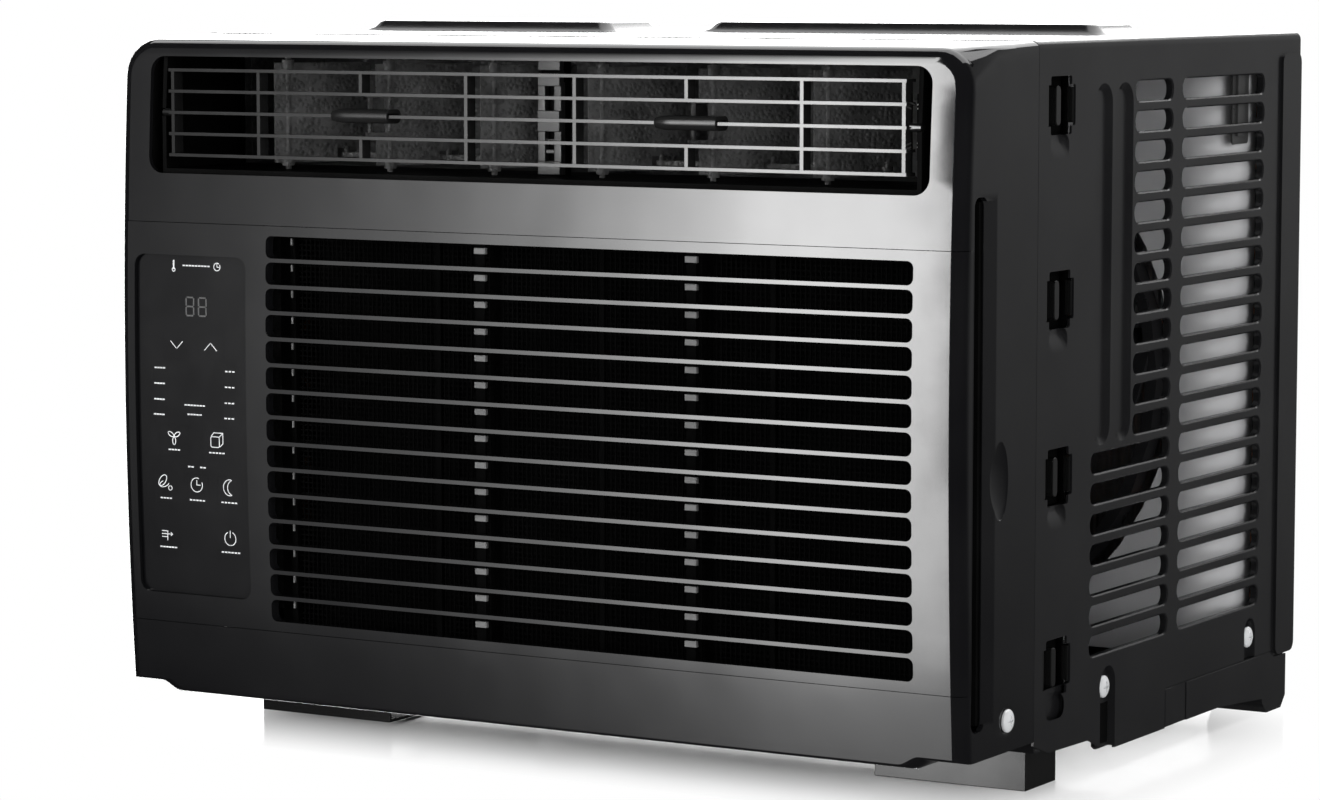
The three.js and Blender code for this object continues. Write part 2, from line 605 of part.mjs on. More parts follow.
// ---------- base pan and feet ----------
function floorAt(y) {
  const next = Math.max(1, PAN_FLOOR.findIndex(([fy]) => fy >= y));
  const [[y0, z0], [y1, z1]] = [PAN_FLOOR[next - 1], PAN_FLOOR[next]];
  return z0 + ((z1 - z0) * (y - y0)) / (y1 - y0);
}

function compressorBolts() {
  return [90, 210, 330].map((turn) => [
    COMPRESSOR.x + COMPRESSOR.bolt * Math.cos(radians(turn)),
    COMPRESSOR.y + COMPRESSOR.bolt * Math.sin(radians(turn)),
  ]);
}

function makeBasePan() {
  const { half, front, back, sheet, rim } = PAN;
  const upper = PAN_FLOOR.map(([y, z]) => [y, z + sheet]).reverse();
  const floor = prism("x", polygon([...PAN_FLOOR, ...upper]), -half, half);
  const sideShape = polygon([...PAN_FLOOR, [back, rim], [front, rim]]);
  const sides = [prism("x", sideShape, half - sheet, half), prism("x", sideShape, -half, sheet - half)];
  const ends = [
    box(-half, front, 31.7, half, front + sheet, 44),
    box(-half, back - sheet, 8.5, half, back, 34),
  ];
  const skirtShape = polygon([[SKIRT.middleTo + GAP, 12.5], [100, 12.5], [150, 8.5], [RAIL.from - GAP, 8.5],
    [RAIL.from - GAP, SKIRT.rear - GAP], [SKIRT.middleTo + GAP, SKIRT.rear - GAP]]);
  const skirts = [prism("x", skirtShape, half - 1, HALF - GAP), prism("x", skirtShape, GAP - HALF, 1 - half)];
  const { from, to, inner, outer, round } = REAR_FOOT;
  const feet = [1, -1].map((side) => {
    const sole = [[from + round, 0], [to - round, 0]];
    const shape = polygon([...sole, [to, round], [to, 28], [from, 28], [from, round]]);
    return side > 0 ? prism("x", shape, inner, outer) : prism("x", shape, -outer, -inner);
  });
  const pedestals = compressorBolts().flatMap(([x, y]) => [
    bar("z", 13, floorAt(y) + 0.5, GROMMET.low - GAP, [x, y, 0], 12),
    bar("z", STUD, GROMMET.low - 1, COMPRESSOR.low + 6, [x, y, 0], 10),
  ]);
  const pan = join([floor, ...sides, ...ends, ...skirts, ...feet, ...pedestals]);
  return cut(pan, [SCREWS.bezel, SCREWS.cabinet_front, SCREWS.cabinet_rear].flatMap(screwHole));
}

function makeFrontFoot(side) {
  const { inner, outer, y, depth, top, sheet } = FRONT_FOOT;
  const [x0, x1] = side > 0 ? [inner, outer] : [-outer, -inner];
  const wallX = side > 0 ? [x1 - sheet, x1] : [x0, x0 + sheet];
  return join([
    box(x0, y, 0, x1, y + sheet, top),
    box(wallX[0], y, 0, wallX[1], y + depth, top),
    box(x0, y, 0, x1, y + depth, sheet),
    box(x0, y, top - sheet, x1, y + depth, top),
  ]);
}

// ---------- blower, scroll, shaft, motor and fan ----------
function scrollOutline(inset) {
  const shape = new THREE.Shape();
  const { half, low, high } = { half: DUCT.half + 2, low: DUCT.low - DUCT.wall, high: DUCT.high + DUCT.wall };
  const steps = 20;
  const points = [[-half + inset, high - inset], [-half + inset, low + inset]];
  for (let i = 0; i <= steps; i++) {
    const turn = radians(125 + (290 * i) / steps);
    const r = SCROLL.start + (SCROLL.grow * i) / steps - inset;
    points.push([AXIS.x + r * Math.cos(turn), AXIS.z + r * Math.sin(turn)]);
  }
  const last = points[points.length - 1];
  points.push([last[0], low + inset], [half - inset, low + inset], [half - inset, high - inset]);
  points.splice(2, 0, [points[2][0], low + inset]);
  points.forEach(([x, z], i) => (i ? shape.lineTo(x, z) : shape.moveTo(x, z)));
  return shape;
}

function makeScroll() {
  const { front, back, wall, inlet } = SCROLL;
  const outer = prism("y", scrollOutline(0), front, back);
  const inner = prism("y", scrollOutline(wall), front + wall, back - wall);
  const inletHole = bar("y", inlet, front - 5, front + 5, [AXIS.x, 0, AXIS.z], 32);
  const shaftHole = bar("y", 14, back - 10, back + 5, [AXIS.x, 0, AXIS.z], 16);
  const outlet = box(-DUCT.half, front - 5, DUCT.low, DUCT.half, front + 5, DUCT.high);
  return cut(outer, [inner, inletHole, shaftHole, outlet]);
}

function makeBlower() {
  const { radius, front, back, blades, hub } = BLOWER;
  const at = [AXIS.x, 0, AXIS.z];
  const plate = bar("y", radius, back - 2, back, at, 24);
  const boss = bar("y", hub, front + 6, back, at, 16);
  const eye = bar("y", radius - 12, front - 1, front + 5, at, 24);
  const rim = bar("y", radius, front, front + 3, at, 24).subtract(eye);
  const parts = [plate, boss, rim];
  for (let i = 0; i < blades; i++) {
    const blade = box(radius - 13, front + 1, -0.8, radius - 1.5, back - 1, 0.8);
    parts.push(blade.translate([-radius + 7, 0, 0]).rotate([0, 35, 0]).translate([radius - 7, 0, 0])
      .rotate([0, (360 * i) / blades, 0]).translate(at));
  }
  return join(parts).subtract(bar("y", SHAFT.radius + GAP, front, back + 5, at));
}

function makeFan() {
  const { hub, tip, ring, front, back, blades, pitch } = FAN;
  const at = [AXIS.x, 0, AXIS.z];
  const middle = (front + back) / 2;
  const boss = bar("y", hub, front + 2, back - 2, at, 20);
  const ringFront = back - 8;
  const sling = turned("y", [[tip - 2, ringFront], [tip + ring - 2, ringFront], [tip + ring, back],
    [tip - 2, back], [tip - 2, ringFront]], at, 28);
  const fanBlades = [];
  const reach = tip - 1;
  const root = hub - 4;
  const waist = reach * 0.6;
  const shape = polygon([[root, -12], [waist, -38], [reach, -44], [reach, 30], [waist, 26], [root, 12]]);
  for (let i = 0; i < blades; i++) {
    const blade = prism("y", shape, -1.2, 1.2).rotate([-pitch, 0, 0]).translate([0, middle, 0]);
    const trimmed = blade.intersect(box(-tip, front, -tip, tip, back, tip));
    fanBlades.push(trimmed.rotate([0, (360 * i) / blades, 0]).translate(at));
  }
  const disc = bar("y", tip, front - 1, back + 1, at, 28);
  const bore = bar("y", SHAFT.radius + GAP, front, back, at);
  return join([boss, sling, join(fanBlades).intersect(disc)]).subtract(bore);
}

function makeMotor() {
  const { radius, front, back } = MOTOR;
  const profile = [[0, front - 6], [14, front - 6], [14, front], [radius - 5, front], [radius, front + 6],
    [radius, back - 6], [radius - 5, back], [14, back], [14, back + 6], [0, back + 6]];
  const at = [AXIS.x, 0, AXIS.z];
  return turned("y", profile, at, 24).subtract(bar("y", SHAFT.radius + GAP, front - 10, back + 10, at));
}

function makeMotorBracket() {
  const y = MOTOR.back + GAP;
  const floor = floorAt(y) + PAN.sheet + GAP;
  const shoulder = AXIS.z + 30;
  const crest = AXIS.z + 48;
  const outline = [[-12, floor], [112, floor], [98, shoulder], [80, crest], [20, crest], [2, shoulder]];
  const shape = polygon(outline);
  const plate = prism("y", shape, y, y + 2);
  const sole = box(-12, y, floor, 112, y + 34, floor + 2);
  const ears = [box(-12, y, floor, -10, y + 34, 60), box(110, y, floor, 112, y + 34, 60)];
  return join([plate, sole, ...ears]).subtract(bar("y", 15, y - 5, y + 5, [AXIS.x, 0, AXIS.z], 20));
}

function makePartition() {
  const y = PARTITION_Y;
  const half = PAN.half - PAN.sheet - 0.6;
  const sheet = box(-half, y, floorAt(y) + PAN.sheet + GAP, half, y + SHEET, TOP - SHEET - 0.6);
  const holes = [
    bar("y", 20, y - 5, y + 5, [AXIS.x, 0, AXIS.z], 20),
    bar("y", 8, y - 5, y + 5, [-180, 0, 240], 12),
    bar("y", 5, y - 5, y + 5, [-180, 0, 80], 10),
  ];
  return cut(sheet, holes);
}

function shroudOutline(inset) {
  const { half, front, back, bend } = SHROUD;
  const x = half - inset;
  const y = front + inset;
  const r = bend - inset;
  const shape = new THREE.Shape();
  shape.moveTo(x, back + inset);
  shape.lineTo(-x, back + inset);
  shape.lineTo(-x, y + r);
  shape.absarc(-x + r, y + r, r, Math.PI, 1.5 * Math.PI);
  shape.lineTo(x - r, y);
  shape.absarc(x - r, y + r, r, 1.5 * Math.PI, 2 * Math.PI);
  return shape;
}

function makeShroud() {
  const { front, back, low, high, wall, hole } = SHROUD;
  const options = { curveSegments: 5 };
  const outer = prism("z", shroudOutline(0), low, high, options);
  const inner = prism("z", shroudOutline(wall), low - 5, high - wall, options);
  const opening = bar("y", hole, front - 5, front + 5, [AXIS.x, 0, AXIS.z], 40);
  const tubeNotches = [
    box(-HALF, front - 5, 278, -200, front + 30, 318),
    box(-HALF, front - 5, 48, -198, front + 28, 72),
  ];
  const behind = box(-HALF, back, 0, HALF, REAR, TOP);
  return cut(outer, [inner, opening, ...tubeNotches, behind]);
}

// ---------- coils ----------
// a row of straight runs joined by return bends at alternate ends
function serpentine({ left, right, y, low, high, rows }, radius) {
  const pitch = (high - low) / rows;
  const parts = [];
  for (let i = 0; i < rows; i++) {
    const z = low + pitch * (i + 0.5);
    parts.push(bar("x", radius, left - 1, right + 1, [0, y, z], 8));
    if (i === rows - 1) continue;
    const side = i % 2 ? -1 : 1;
    const end = side > 0 ? right : left;
    const bend = [];
    for (let k = 0; k <= 4; k++) {
      const turn = -Math.PI / 2 + (Math.PI * k) / 4;
      bend.push([end + (side * pitch * Math.cos(turn)) / 2, y, z + pitch / 2 + (pitch * Math.sin(turn)) / 2]);
    }
    parts.push(tube(bend, radius + 0.7, 5, 6));
  }
  return join(parts);
}

function coilParts(spec) {
  const y = (spec.front + spec.back) / 2;
  const run = { ...spec, left: spec.left - 2, right: spec.right + 2, y };
  const coil = serpentine(run, TUBE);
  const tunnels = [];
  const pitch = (spec.high - spec.low) / spec.rows;
  for (let i = 0; i < spec.rows; i++) {
    const z = spec.low + pitch * (i + 0.5);
    tunnels.push(bar("x", TUBE + GAP, spec.left - 5, spec.right + 5, [0, y, z], 8));
  }
  const fins = cut(box(spec.left, spec.front, spec.low, spec.right, spec.back, spec.high), tunnels);
  return { coil, fins };
}

function addCoils() {
  const evaporator = coilParts(EVAPORATOR);
  add("evaporator_fins", evaporator.fins, LOOK.fins);
  add("evaporator_tube", evaporator.coil, LOOK.copper);
  const condenser = coilParts({ ...CONDENSER, left: -CONDENSER.half, right: CONDENSER.half });
  add("condenser_fins", condenser.fins, LOOK.fins);
  add("condenser_tube", condenser.coil, LOOK.copper);
}

// ---------- compressor, accumulator and pipes ----------
function makeCompressor() {
  const { x, y, radius, low, high } = COMPRESSOR;
  const profile = [[0, low], [radius - 10, low], [radius, low + 14], [radius, high - 26],
    [radius * 0.8, high - 8], [radius * 0.4, high], [0, high]];
  const can = turned("z", profile, [x, y, 0], 20);
  const feet = compressorBolts().map(([bx, by]) => {
    const arm = prism("z", clippedRect(-12, -12, COMPRESSOR.bolt - 20, 12, 5), GROMMET.high + GAP, low + 2);
    const turn = Math.atan2(y - by, x - bx);
    return arm.rotate([0, 0, (turn * 180) / Math.PI]).translate([bx, by, 0]);
  });
  const bores = compressorBolts().map(([bx, by]) => bar("z", STUD + GAP, 0, 60, [bx, by, 0], 10));
  return cut(join([can, ...feet]), bores);
}

function makeGrommet([x, y]) {
  const { radius, low, high } = GROMMET;
  const waist = (low + high) / 2;
  const bore = STUD + GAP;
  const outside = [[radius, low], [radius - 2, waist], [radius, high]];
  const profile = [[bore, low], ...outside, [bore, high], [bore, low]];
  return turned("z", profile, [x, y, 0], 10);
}

function makeAccumulator() {
  const { x, y, radius, low, high } = ACCUMULATOR;
  const profile = [[0, low], [radius * 0.6, low], [radius, low + 10], [radius, high - 10],
    [radius * 0.4, high], [0, high]];
  const can = turned("z", profile, [x, y, 0], 16);
  const reachX = COMPRESSOR.x - COMPRESSOR.radius * Math.cos(radians(30)) - 1.6;
  const reachY = COMPRESSOR.y + COMPRESSOR.radius * Math.sin(radians(30)) + 1.2;
  const elbow = tube([[x, y, low + 2], [x, y, low - 12], [x + 2, y - 8, low - 18],
    [reachX - 4, reachY + 5, low - 8], [reachX, reachY, low - 8]], 4.5, 14);
  return can.add(elbow);
}

function makeSuctionTube() {
  const start = [EVAPORATOR.left - 12, EVAPORATOR.back + 6, 240];
  const end = [ACCUMULATOR.x, ACCUMULATOR.y, ACCUMULATOR.high + 0.6];
  return tube([start, [-166, -112, 240], [-180, -95, 240], [-180, -60, 240], [-194, 15, 240], [-207, 55, 236],
    [ACCUMULATOR.x, ACCUMULATOR.y, 222], end], 4.8, 20, 6);
}

function makeDischargeTube() {
  const { x, y, high } = COMPRESSOR;
  const inlet = [-CONDENSER.half - 4, CONDENSER.front - 1, 300];
  return tube([[x + 15, y, high + 0.4], [x + 15, y, high + 26], [x - 10, y + 40, 276], [-205, 95, 290],
    [-214, 125, 298], inlet], 3.6, 16);
}

function makeCapillary() {
  const coil = [];
  const turns = 2.5;
  const perTurn = 8;
  for (let i = 0; i <= turns * perTurn; i++) {
    const turn = (2 * Math.PI * i) / perTurn;
    coil.push([-180 + 14 * Math.cos(turn), 104 - i * 0.8, 60 + 14 * Math.sin(turn)]);
  }
  const path = [[-CONDENSER.half - 4, CONDENSER.front - 1, 60], [-214, 140, 60], [-206, 118, 60], ...coil,
    [-222, 70, 56], [-218, 30, 60], [-214, -20, 76], [-180, -62, 80], [-180, -95, 80],
    [EVAPORATOR.left - 12, EVAPORATOR.back + 6, 80]];
  return tube(path, 1.6, 48, 4);
}

// ---------- assembly ----------
add("base_pan", makeBasePan(), LOOK.paint);
add("front_foot_right", makeFrontFoot(1), LOOK.paint);
add("front_foot_left", makeFrontFoot(-1), LOOK.paint);
add("cabinet", makeCabinet(), LOOK.paint);
add("front_bezel", makeBezel(), LOOK.gloss);
add("cord_grommet", makeCordGrommet(), LOOK.rubber);
add("intake_panel", makeIntakePanel(), LOOK.gloss);
add("control_overlay", makeOverlay(), LOOK.glass);
add("display_window", makeDisplay(), LOOK.glass);
for (const [name, x, z, width, height] of KEYS) {
  add(name, makeKey(x, z, width, height), LOOK.glass);
}
add("control_board", makeBoard(), LOOK.board);
add("control_box", makeControlBox(), LOOK.duct);
add("run_capacitor", bar("z", 17, 100, 165, [-195, FRONT + 44, 0], 16), LOOK.zinc);
add("air_filter", makeFilter(), LOOK.satin);
addDischarge();
add("scroll_housing", makeScroll(), LOOK.foam);
addCoils();
add("partition", makePartition(), LOOK.zinc);
add("motor_shaft", bar("y", SHAFT.radius, SHAFT.front, SHAFT.back, [AXIS.x, 0, AXIS.z]), LOOK.zinc);
add("blower_wheel", makeBlower(), LOOK.satin);
add("condenser_fan", makeFan(), LOOK.satin);
add("fan_motor", makeMotor(), LOOK.zinc);
add("motor_bracket", makeMotorBracket(), LOOK.zinc);
add("condenser_shroud", makeShroud(), LOOK.grey);
add("compressor", makeCompressor(), LOOK.paint);
compressorBolts().forEach((place, i) => add(`compressor_grommet_${i + 1}`, makeGrommet(place), LOOK.rubber));
add("accumulator", makeAccumulator(), LOOK.copper);
add("suction_tube", makeSuctionTube(), LOOK.copper);
add("discharge_tube", makeDischargeTube(), LOOK.copper);
add("capillary_tube", makeCapillary(), LOOK.copper);
addScrews();

export default root;
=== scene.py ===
import json
import math

import bmesh
import bpy
from mathutils import Matrix, Vector


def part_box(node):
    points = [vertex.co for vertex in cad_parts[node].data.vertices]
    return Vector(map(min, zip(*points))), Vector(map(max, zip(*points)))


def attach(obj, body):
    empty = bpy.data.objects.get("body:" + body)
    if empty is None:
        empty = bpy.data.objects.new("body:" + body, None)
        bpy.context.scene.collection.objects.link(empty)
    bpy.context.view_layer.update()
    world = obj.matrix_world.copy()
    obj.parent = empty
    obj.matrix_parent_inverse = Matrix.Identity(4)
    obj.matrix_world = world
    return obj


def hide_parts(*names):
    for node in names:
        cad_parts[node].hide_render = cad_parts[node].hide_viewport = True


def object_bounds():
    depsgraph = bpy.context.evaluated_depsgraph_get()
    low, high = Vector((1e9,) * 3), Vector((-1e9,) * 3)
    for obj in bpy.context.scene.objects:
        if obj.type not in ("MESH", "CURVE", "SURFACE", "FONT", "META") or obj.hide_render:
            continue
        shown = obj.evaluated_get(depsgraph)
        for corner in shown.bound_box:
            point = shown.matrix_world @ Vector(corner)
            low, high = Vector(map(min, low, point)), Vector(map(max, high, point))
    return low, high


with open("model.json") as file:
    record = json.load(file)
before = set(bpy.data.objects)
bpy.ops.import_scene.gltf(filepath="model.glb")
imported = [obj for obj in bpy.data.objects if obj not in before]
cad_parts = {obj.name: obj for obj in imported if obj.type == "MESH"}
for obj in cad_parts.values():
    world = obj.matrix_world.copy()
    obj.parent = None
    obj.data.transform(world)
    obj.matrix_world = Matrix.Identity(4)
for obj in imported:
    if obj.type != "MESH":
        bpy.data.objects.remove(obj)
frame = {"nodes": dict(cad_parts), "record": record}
NODES = frame["nodes"]
cad_low, cad_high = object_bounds()
MM = 0.001


def span(node):
    low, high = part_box(node)
    return low / MM, high / MM


# ---------- sizes, in millimetres, from the frame ----------
BEZEL_LOW, BEZEL_HIGH = span("front_bezel")
PANEL_LOW, PANEL_HIGH = span("intake_panel")
HALF = BEZEL_HIGH.x
FRONT = BEZEL_LOW.y
SEAM = BEZEL_HIGH.y
REAR = span("cabinet")[1].y
TOP = BEZEL_HIGH.z + 2
FLOOR_OF_BEZEL = BEZEL_LOW.z
FACE_MIDDLE = (BEZEL_HIGH.z + BEZEL_LOW.z) / 2
FACE_REACH = (BEZEL_HIGH.z - BEZEL_LOW.z) / 2
BULGE = 6
WALL = 2.6
GAP = 0.3
FILLET = 7
CORNER = 18
REAR_CORNER = 4
SHOULDER = {"behind": 34, "corner": 5, "lift": 0.65}
TOP_LIFT = 1.7
LOW_ROUND = 0.3
CROWN_STRIP = 6.37
STEP = {"rise": 4.5, "from": 207, "to": 218}
MOUTH = {"half": 216.6, "low": 284, "high": 341.6, "corner": 8}
DUCT = {"half": 208.5, "low": 286.3, "high": 342.5}
FILTER_SLOT = {"front": FRONT + 10.5, "back": FRONT + 23.5, "low": 42, "high": 283.3}
PANEL = {"left": PANEL_LOW.x, "low": PANEL_LOW.z, "high": PANEL_HIGH.z, "back": PANEL_HIGH.y}
SLOTS = {"count": 15, "left": -145, "right": 209.5, "first": 244, "pitch": 12.79, "height": 10.9,
         "corner": 3.2}
CONTROL = {"left": -225, "right": -157, "low": 74.3, "high": 243.8, "corner": 6, "drop": 2.2}
DRAIN = {"x": -190, "y": FRONT + 40, "radius": 7.8}
THUMB = {"y": FRONT + 38.5, "z": 154, "sizes": (2.1, 9.5, 18), "turn": -7}
SCREW_HEIGHT = 43
SCREW_Y = {"bezel": FRONT + 47.3, "cabinet_front": -39, "cabinet_rear": 137}


def crown(z):
    return BULGE * ((z - FACE_MIDDLE) / FACE_REACH) ** 2


# ---------- mesh helpers ----------
def mesh_object(name, bm):
    bmesh.ops.remove_doubles(bm, verts=bm.verts, dist=1e-4)
    bmesh.ops.recalc_face_normals(bm, faces=bm.faces)
    bmesh.ops.scale(bm, vec=(MM, MM, MM), verts=bm.verts)
    mesh = bpy.data.meshes.new(name)
    bm.to_mesh(mesh)
    bm.free()
    piece = bpy.data.objects.new(name, mesh)
    bpy.context.scene.collection.objects.link(piece)
    return piece


AXES = {
    "x": lambda a, b, c: (c, a, b),
    "y": lambda a, b, c: (a, c, b),
    "z": lambda a, b, c: (a, b, c),
}


def add_prism(bm, axis, outline, start, end):
    """A flat outline extruded along an axis: X outlines hold (y, z), Y outlines (x, z), Z outlines (x, y)."""
    place = AXES[axis]
    rings = [[bm.verts.new(place(a, b, c)) for a, b in outline] for c in (start, end)]
    count = len(outline)
    for i in range(count):
        j = (i + 1) % count
        bm.faces.new((rings[0][i], rings[0][j], rings[1][j], rings[1][i]))
    bm.faces.new(rings[0])
    bm.faces.new(rings[1])


def add_loft(bm, rings):
    """A closed body through rings of points that all have the same count."""
    made = [[bm.verts.new(p) for p in ring] for ring in rings]
    count = len(rings[0])
    for low, high in zip(made, made[1:]):
        for i in range(count):
            j = (i + 1) % count
            bm.faces.new((low[i], low[j], high[j], high[i]))
    bm.faces.new(made[0])
    bm.faces.new(made[-1])


def rectangle(a0, b0, a1, b1):
    return [(a0, b0), (a1, b0), (a1, b1), (a0, b1)]


def arc(a, b, radius, start, end, steps=14, squash=1.0, lean=0.0):
    points = []
    for k in range(steps + 1):
        turn = math.radians(start + (end - start) * k / steps)
        long, short = radius * math.cos(turn), radius * squash * math.sin(turn)
        across = long * math.cos(lean) - short * math.sin(lean)
        up = long * math.sin(lean) + short * math.cos(lean)
        points.append((a + across, b + up))
    return points


def rounded(a0, b0, a1, b1, radius, steps=5):
    points = []
    corners = [(a1 - radius, b0 + radius, -90), (a1 - radius, b1 - radius, 0)]
    corners += [(a0 + radius, b1 - radius, 90), (a0 + radius, b0 + radius, 180)]
    for a, b, start in corners:
        points += arc(a, b, radius, start, start + 90, steps)
    return points


def circle(a, b, radius, count=32):
    turns = [2 * math.pi * k / count for k in range(count)]
    return [(a + radius * math.cos(t), b + radius * math.sin(t)) for t in turns]


def add_box(bm, low, high):
    add_prism(bm, "z", rectangle(low[0], low[1], high[0], high[1]), low[2], high[2])


def prism_tool(axis, outline, start, end):
    bm = bmesh.new()
    add_prism(bm, axis, outline, start, end)
    return bm


def box_tool(low, high):
    bm = bmesh.new()
    add_box(bm, low, high)
    return bm


def cut_edges(bm, axis, at):
    """Adds edges where a plane across an axis meets the mesh."""
    across = Vector([float(name == axis) for name in "xyz"])
    geometry = bm.verts[:] + bm.edges[:] + bm.faces[:]
    bmesh.ops.bisect_plane(bm, geom=geometry, plane_co=across * at, plane_no=across)


def add_turned(bm, axis, at, profile, count=32):
    """A turned body about a line along an axis; the profile holds (radius, distance along the axis)."""
    place = AXES[axis]
    made = []
    for radius, along in profile:
        if radius < 1e-6:
            made.append([bm.verts.new(place(at[0], at[1], along))])
        else:
            made.append([bm.verts.new(place(a, b, along)) for a, b in circle(at[0], at[1], radius, count)])
    for low, high in zip(made, made[1:]):
        for i in range(count):
            j = (i + 1) % count
            corners = [low[i % len(low)], low[j % len(low)], high[j % len(high)], high[i % len(high)]]
            corners = list(dict.fromkeys(corners))
            if len(corners) > 2:
                bm.faces.new(corners)


def bake(piece):
    """Applies the piece's modifiers."""
    graph = bpy.context.evaluated_depsgraph_get()
    graph.update()
    mesh = bpy.data.meshes.new_from_object(piece.evaluated_get(graph))
    old = piece.data
    piece.modifiers.clear()
    piece.data = mesh
    bpy.data.meshes.remove(old)
    return piece


def carve(piece, tool_mesh, operation="DIFFERENCE"):
    """Cuts, joins or intersects a piece with the bodies in a bmesh."""
    tool = mesh_object("tool", tool_mesh)
    change = piece.modifiers.new("carve", "BOOLEAN")
    change.operation = operation
    change.solver = "EXACT"
    change.use_self = True
    change.object = tool
    bake(piece)
    bpy.data.objects.remove(tool)
    return piece


def soften(piece, width, segments=2, angle=35):
    """Rounds the sharp edges, so that they catch the light."""
    edge = piece.modifiers.new("soften", "BEVEL")
    edge.width = width * MM
    edge.segments = segments
    edge.limit_method = "ANGLE"
    edge.angle_limit = math.radians(angle)
    edge.use_clamp_overlap = True
    edge.miter_outer = "MITER_ARC"
    shade = piece.modifiers.new("shade", "WEIGHTED_NORMAL")
    shade.weight = 80
    shade.keep_sharp = False
    for face in piece.data.polygons:
        face.use_smooth = True


def finish_piece(piece, body, material, slot, *replaced):
    piece.data.materials.clear()
    piece.data.materials.append(material)
    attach(piece, body)
    if replaced:
        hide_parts(*replaced)


def add_piece(name, bm, body, material, slot, edge, *replaced):
    """Turns a mesh into a piece, with its sharp edges rounded by a width unless that is 0."""
    piece = mesh_object(name, bm)
    if edge:
        soften(piece, edge)
    finish_piece(piece, body, material, slot, *replaced)


# ---------- material helpers ----------
def connect(tree, node, inputs):
    """Fills a node's inputs: a number or a colour is set, and the output of another node is linked."""
    for name, value in inputs.items():
        if isinstance(value, bpy.types.NodeSocket):
            tree.links.new(value, node.inputs[name])
        else:
            node.inputs[name].default_value = value
    return node


def add_node(tree, kind, inputs):
    return connect(tree, tree.nodes.new(f"ShaderNode{kind}"), inputs)


def start_material(name):
    material = bpy.data.materials.new(name)
    material.use_nodes = True
    tree = material.node_tree
    return material, tree, tree.nodes["Principled BSDF"]


def coordinates(tree, kind="Object"):
    return add_node(tree, "TexCoord", {}).outputs[kind]


def noise_of(tree, vector, scale, detail, roughness=0.5):
    inputs = {"Vector": vector, "Scale": scale, "Detail": detail, "Roughness": roughness}
    return add_node(tree, "TexNoise", inputs).outputs["Fac"]


def remap(tree, value, low, high, from_low=0.3, from_high=0.7):
    inputs = {"Value": value, "From Min": from_low, "From Max": from_high, "To Min": low, "To Max": high}
    return add_node(tree, "MapRange", inputs).outputs["Result"]


def blend_colours(tree, value, dark, light, from_low=0.3, from_high=0.7):
    """Blends two colours; each is three channels, or one number for a neutral grey."""
    node = add_node(tree, "ValToRGB", {"Fac": value})
    for stop, at, colour in zip(node.color_ramp.elements, (from_low, from_high), (dark, light)):
        channels = (colour,) * 3 if isinstance(colour, float) else colour
        stop.position = at
        stop.color = (*channels, 1)
    return node.outputs["Color"]


def bump_of(tree, height, distance, before=None):
    inputs = {"Height": height, "Distance": distance, "Strength": 1.0}
    if before is not None:
        inputs["Normal"] = before
    return add_node(tree, "Bump", inputs).outputs["Normal"]


def grained(name, dark, light, roughness, spread, grain, bump, metallic=0.0, specular=0.5, patches=18.0,
            wave=None):
    """A surface with colour patches, uneven roughness and a fine grain; wave adds a long soft unevenness."""
    material, tree, shader = start_material(name)
    vector = coordinates(tree)
    uneven = noise_of(tree, vector, patches * 3, 5, 0.6)
    normal = bump_of(tree, noise_of(tree, vector, grain, 2), bump)
    if wave:
        normal = bump_of(tree, noise_of(tree, vector, wave[0], 1, 0.3), wave[1], normal)
    connect(tree, shader, {
        "Base Color": blend_colours(tree, noise_of(tree, vector, patches, 4), dark, light),
        "Roughness": remap(tree, uneven, roughness - spread, roughness + spread),
        "Normal": normal,
        "Metallic": metallic,
        "Specular IOR Level": specular,
    })
    return material


def speckled(name, dark, light, cell, bump, roughness):
    """Moulded foam or plastic with small raised specks."""
    material, tree, shader = start_material(name)
    vector = coordinates(tree)
    cells = add_node(tree, "TexVoronoi", {"Vector": vector, "Scale": 1 / (cell * MM)}).outputs["Distance"]
    rounded_cells = remap(tree, cells, 1.0, 0.0, 0.1, 0.6)
    fine = bump_of(tree, noise_of(tree, vector, 900, 2), 0.00006)
    connect(tree, shader, {
        "Base Color": blend_colours(tree, noise_of(tree, vector, 60, 3), dark, light),
        "Roughness": remap(tree, cells, roughness - 0.12, roughness + 0.2, 0.0, 0.6),
        "Normal": bump_of(tree, rounded_cells, bump * MM, fine),
    })
    return material


def striped(name, dark, light, axis, pitch, depth, metallic, roughness, specular=0.5):
    """Fine parallel lines across an axis, as on a stack of thin fins or a drawn surface."""
    material, tree, shader = start_material(name)
    vector = coordinates(tree)
    scale = 1 / (pitch * MM) / 20 * math.pi
    lines = add_node(tree, "TexWave", {"Vector": vector, "Scale": scale, "Distortion": 0.6, "Detail": 2})
    lines.wave_type = "BANDS"
    lines.bands_direction = axis
    dust = noise_of(tree, vector, 40, 4)
    connect(tree, shader, {
        "Base Color": blend_colours(tree, dust, dark, light),
        "Roughness": remap(tree, dust, roughness - 0.03, roughness + 0.04),
        "Normal": bump_of(tree, lines.outputs["Fac"], depth * MM),
        "Metallic": metallic,
        "Specular IOR Level": specular,
    })
    return material


def spangled(name, dark, light, cell, roughness):
    """Hot-dip zinc with its crystal patches."""
    material, tree, shader = start_material(name)
    vector = coordinates(tree)
    cells = add_node(tree, "TexVoronoi", {"Vector": vector, "Scale": 1 / (cell * MM)}).outputs["Color"]
    patch = add_node(tree, "SeparateColor", {"Color": cells}).outputs
    connect(tree, shader, {
        "Base Color": blend_colours(tree, patch["Red"], dark, light, 0.1, 0.9),
        "Roughness": remap(tree, patch["Green"], roughness - 0.06, roughness + 0.1, 0, 1),
        "Normal": bump_of(tree, noise_of(tree, vector, 700, 3), 0.00004),
        "Metallic": 1.0,
    })
    return material


